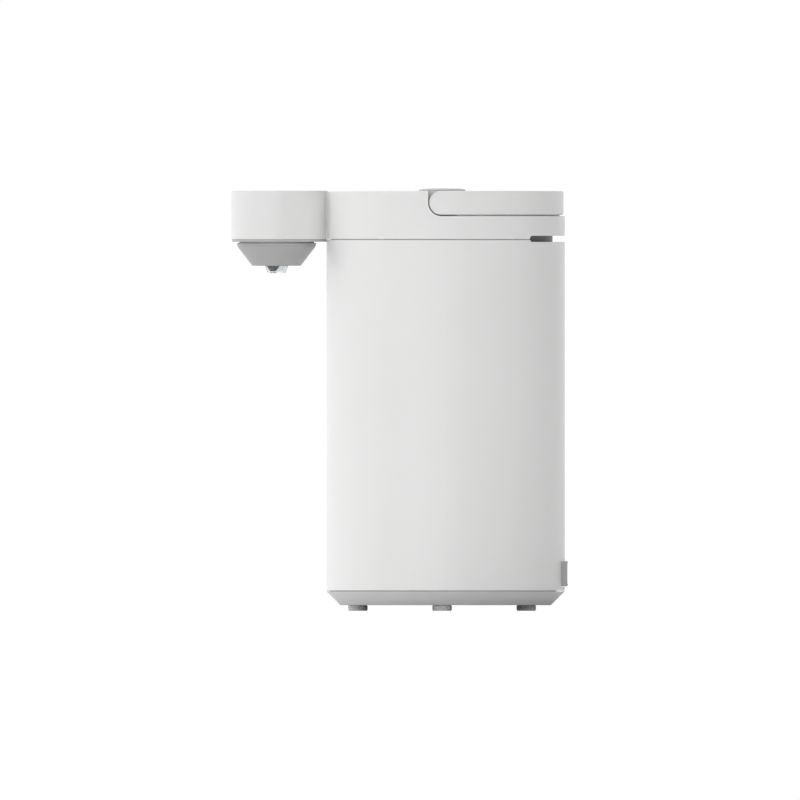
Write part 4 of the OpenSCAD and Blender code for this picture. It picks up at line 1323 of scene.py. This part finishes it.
@dataclass
class ButtonSpring:
    """The coil under the release button.

    Args:
        dresser: Where materials come from.
        wire: Radius of the wire.
        turns: Number of turns.
        travel: How far the button goes down; not used.
        grid: Points in one turn, and round the wire.
    """

    dresser: Dresser
    wire: float = 0.6 * MM
    turns: int = 4
    travel: float = 3.0 * MM
    grid: tuple[int, int] = (48, 14)

    def build(self) -> None:
        """Builds the coil: a circle of wire carried up a helix that fills the plain spring's box."""
        low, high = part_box("button_spring")
        middle, mean = (low + high) / 2, (high[0] - low[0]) / 2 - self.wire
        turn = np.linspace(0.0, 2 * np.pi * self.turns, self.grid[0] * self.turns + 1)[:, None]
        around = np.linspace(0.0, 2 * np.pi, self.grid[1], endpoint=False)[None, :]
        height = high[2] - low[2]
        climb = (height - 2 * self.wire) * turn / turn[-1]
        level = low[2] + self.wire + climb + self.wire * np.sin(around)
        piece = Piece("button_coil", "lid", "spring_steel")
        piece.tube(wound((middle[0], middle[1]), mean + self.wire * np.cos(around), turn, level))
        coil = piece.build(self.dresser.material(FINISHES["spring_steel"]), True)
        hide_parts("button_spring")
        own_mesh(coil)


@dataclass
class LevelMarks:
    """Fill lines etched into the tank's rear wall: short and long dashes, and a full line at the top.

    Args:
        dresser: Where materials come from.
        sleeve: The plain sleeve round the tank.
        inset: How far the tank's inner wall lies inside the sleeve's radius.
        lowest: Height of the lowest mark.
        step: Height between two marks.
        count: Number of marks.
        spans: Half the angle of a long dash, a short dash and the top line, in degrees.
        line: Height of a mark's own band.
        proud: How far a mark stands off the wall.
        sunk: How far it reaches into the wall.
        columns: Points along a mark.
    """

    dresser: Dresser
    sleeve: Sleeve = field(default_factory=Sleeve.read)
    inset: float = 4.5 * MM
    lowest: float = 110.0 * MM
    step: float = 20.0 * MM
    count: int = 9
    spans: tuple[float, float, float] = (7.0, 3.5, 14.0)
    line: float = 1.2 * MM
    proud: float = 0.03 * MM
    sunk: float = 0.02 * MM
    columns: int = 29

    def build(self) -> None:
        """Builds the marks: thin plates bent to the wall's circle, over a few degrees about the rear."""
        wall = self.sleeve.outer - self.inset
        outside, inside = wall + self.sunk, wall - self.proud
        piece = Piece("level_marks", "pot", "liner_steel")
        radius = np.array([outside, inside, inside, outside])[None, :]
        rise = np.array([0.5, 0.5, -0.5, -0.5])[None, :] * self.line
        for k in range(self.count):
            span = self.spans[2] if k == self.count - 1 else self.spans[k % 2]
            angle = np.radians(np.linspace(90 - span, 90 + span, self.columns))[:, None]
            piece.tube(wound(self.sleeve.middle, radius, angle, self.lowest + k * self.step + rise))
        piece.build(self.dresser.material(Print("etched_line", (0.10, 0.10, 0.11), 0.6, 0.05 * MM)))


# ---------------------------------------------------------------- studio


@dataclass
class Softbox:
    """A rectangular lamp that looks at the pot.

    Args:
        name: Object name.
        place: Centre of the lamp.
        size: Width and height.
        power: Watts.
        aim: Point it faces.
    """

    name: str
    place: tuple[float, float, float]
    size: tuple[float, float]
    power: float
    aim: tuple[float, float, float] = (0.0, 0.03, 0.18)

    def build(self) -> None:
        """Makes the lamp and turns it to its aim."""
        data = bpy.data.lights.new(self.name, "AREA")
        data.shape = "RECTANGLE"
        data.size, data.size_y = self.size
        data.energy = self.power
        lamp = bpy.data.objects.new(self.name, data)
        bpy.context.scene.collection.objects.link(lamp)
        away = np.array(self.place) - np.array(self.aim)
        yaw = math.atan2(away[1], away[0]) + math.pi / 2
        pitch = math.atan2(math.hypot(away[0], away[1]), away[2])
        lamp.location = self.place
        lamp.rotation_euler = (pitch, 0.0, yaw)


@dataclass(frozen=True)
class Glow:
    """One soft bulge, or dip, in the light from all round.

    Args:
        azimuth: Direction of its middle, in degrees from +X.
        spread: Angle from the middle at which about a third of it is left, in degrees.
        strength: What it adds in its middle; a dip has a negative one.
    """

    azimuth: float
    spread: float
    strength: float

    def at(self, azimuths: np.ndarray) -> np.ndarray:
        """Strength times e to minus the square of the angle from the middle over the spread."""
        away = (azimuths - self.azimuth + 180.0) % 360.0 - 180.0
        return self.strength * np.exp(-((away / self.spread) ** 2))


@dataclass
class Studio:
    """Floor, camera, sky and lamps.

    Args:
        width: Width that the camera sees, in metres.
        centre: Point in the middle of the picture.
        distance: How far off the camera stands.
        floor: Half-size of the floor.
        backdrop: Strength of the white that the camera sees past the pot.
        haze: Strength that the light from all round has everywhere.
        glows: What is added to it or taken from it: the wash from behind on the left, a weak front light, the
            light on the right with a dark gap beside it, and the light from behind on the right.
        sky_stops: Stops of the colour ramp that holds the sum, even in azimuth from -X once round.
        lamps: The softboxes.
    """

    width: float = 0.6709
    centre: tuple[float, float, float] = (0.0, 0.0004, 0.1768)
    distance: float = 3.0
    floor: float = 6.0
    backdrop: float = 1.02
    haze: float = 0.25
    glows: tuple[Glow, ...] = (
        Glow(-130.0, 76.0, 1.2),
        Glow(-20.0, 35.0, 0.12),
        Glow(85.0, 24.0, 0.32),
        Glow(120.0, 20.0, -0.32),
        Glow(158.0, 20.0, 0.5),
    )
    sky_stops: int = 13
    lamps: tuple[Softbox, ...] = (
        Softbox("overhead", (0.2, 0.0, 2.0), (1.6, 1.6), 8.8),
        Softbox("low_front", (1.6, -0.4, 0.11), (1.6, 0.2), 4.2),
        Softbox("low_right", (1.2, 1.2, 0.11), (1.6, 0.2), 1.2),
    )

    def build_camera(self) -> None:
        """Flat side view from the pot's left-hand side, level with its middle."""
        data = bpy.data.cameras.new("side_camera")
        data.type = "ORTHO"
        data.ortho_scale = self.width
        camera = bpy.data.objects.new("side_camera", data)
        camera.location = (self.centre[0] + self.distance, self.centre[1], self.centre[2])
        camera.rotation_euler = (math.pi / 2, 0.0, math.pi / 2)
        bpy.context.scene.collection.objects.link(camera)
        bpy.context.scene.camera = camera

    def build_floor(self) -> None:
        """Plain pale matt floor: a square of four corners."""
        s = self.floor
        mesh = bpy.data.meshes.new("floor")
        mesh.from_pydata([(-s, -s, 0.0), (s, -s, 0.0), (s, s, 0.0), (-s, s, 0.0)], [], [(0, 1, 2, 3)])
        floor = bpy.data.objects.new("floor", mesh)
        bpy.context.scene.collection.objects.link(floor)
        pale = MouldedPlastic("pale_floor", (0.93, 0.93, 0.93), 0.7, dust=0.0, wear_and_shade=0.0)
        mesh.materials.append(pale.build())

    def build_sky(self) -> None:
        """White walls all round, brighter in some directions, and white where the camera looks past all.

        The strength is the haze plus the glows, over the ray's azimuth: the arctangent of its Y over its X, on
        a circle cut at -X. The ramp holds it as a share of its peak.
        """
        world = bpy.data.worlds.new("studio")
        bpy.context.scene.world = world
        world.use_nodes = True
        world.node_tree.nodes.clear()
        graph = Graph(world.node_tree)
        ray = graph.split(graph.add("ShaderNodeTexCoord").outputs["Generated"])
        azimuth = graph.math("ARCTAN2", ray[1], ray[0])
        azimuths = np.linspace(-180.0, 180.0, self.sky_stops)
        strengths = self.haze + sum(glow.at(azimuths) for glow in self.glows)
        peak = float(strengths.max())
        places = np.linspace(0.0, 1.0, self.sky_stops)
        stops = [(float(at), (float(share),) * 3) for at, share in zip(places, strengths / peak)]
        sky = graph.ramp(graph.spread(azimuth, over=(-math.pi, math.pi)), stops)
        lit = graph.add("ShaderNodeBackground", Color=sky, Strength=peak)
        seen = graph.add("ShaderNodeBackground", Color=(1.0, 1.0, 1.0, 1.0), Strength=self.backdrop)
        mix = graph.add("ShaderNodeMixShader")
        camera_ray = graph.add("ShaderNodeLightPath").outputs["Is Camera Ray"]
        for target, source in zip(mix.inputs, (camera_ray, lit.outputs[0], seen.outputs[0])):
            graph.feed(target, source)
        graph.add("ShaderNodeOutputWorld", Surface=mix.outputs[0])

    def build(self) -> None:
        """Builds the whole studio and sets plain colour management."""
        self.build_camera()
        self.build_floor()
        self.build_sky()
        for lamp in self.lamps:
            lamp.build()
        bpy.context.scene.view_settings.view_transform = "Standard"
        bpy.context.scene.view_settings.look = "None"


def main() -> None:
    """Builds the studio, dresses the carried-over pieces and adds the printed, soft and coiled ones."""
    logging.basicConfig(level=logging.INFO, format="%(name)s %(message)s")
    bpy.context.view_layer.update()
    Studio().build()
    dresser = Dresser(FINISHES, NODE_FINISHES)
    dresser.dress_nodes()
    PanelMarks(dresser).build()
    FeltWrap(dresser).build()
    LevelMarks(dresser).build()
    ButtonSpring(dresser).build()


if __name__ == "__main__":
    main()
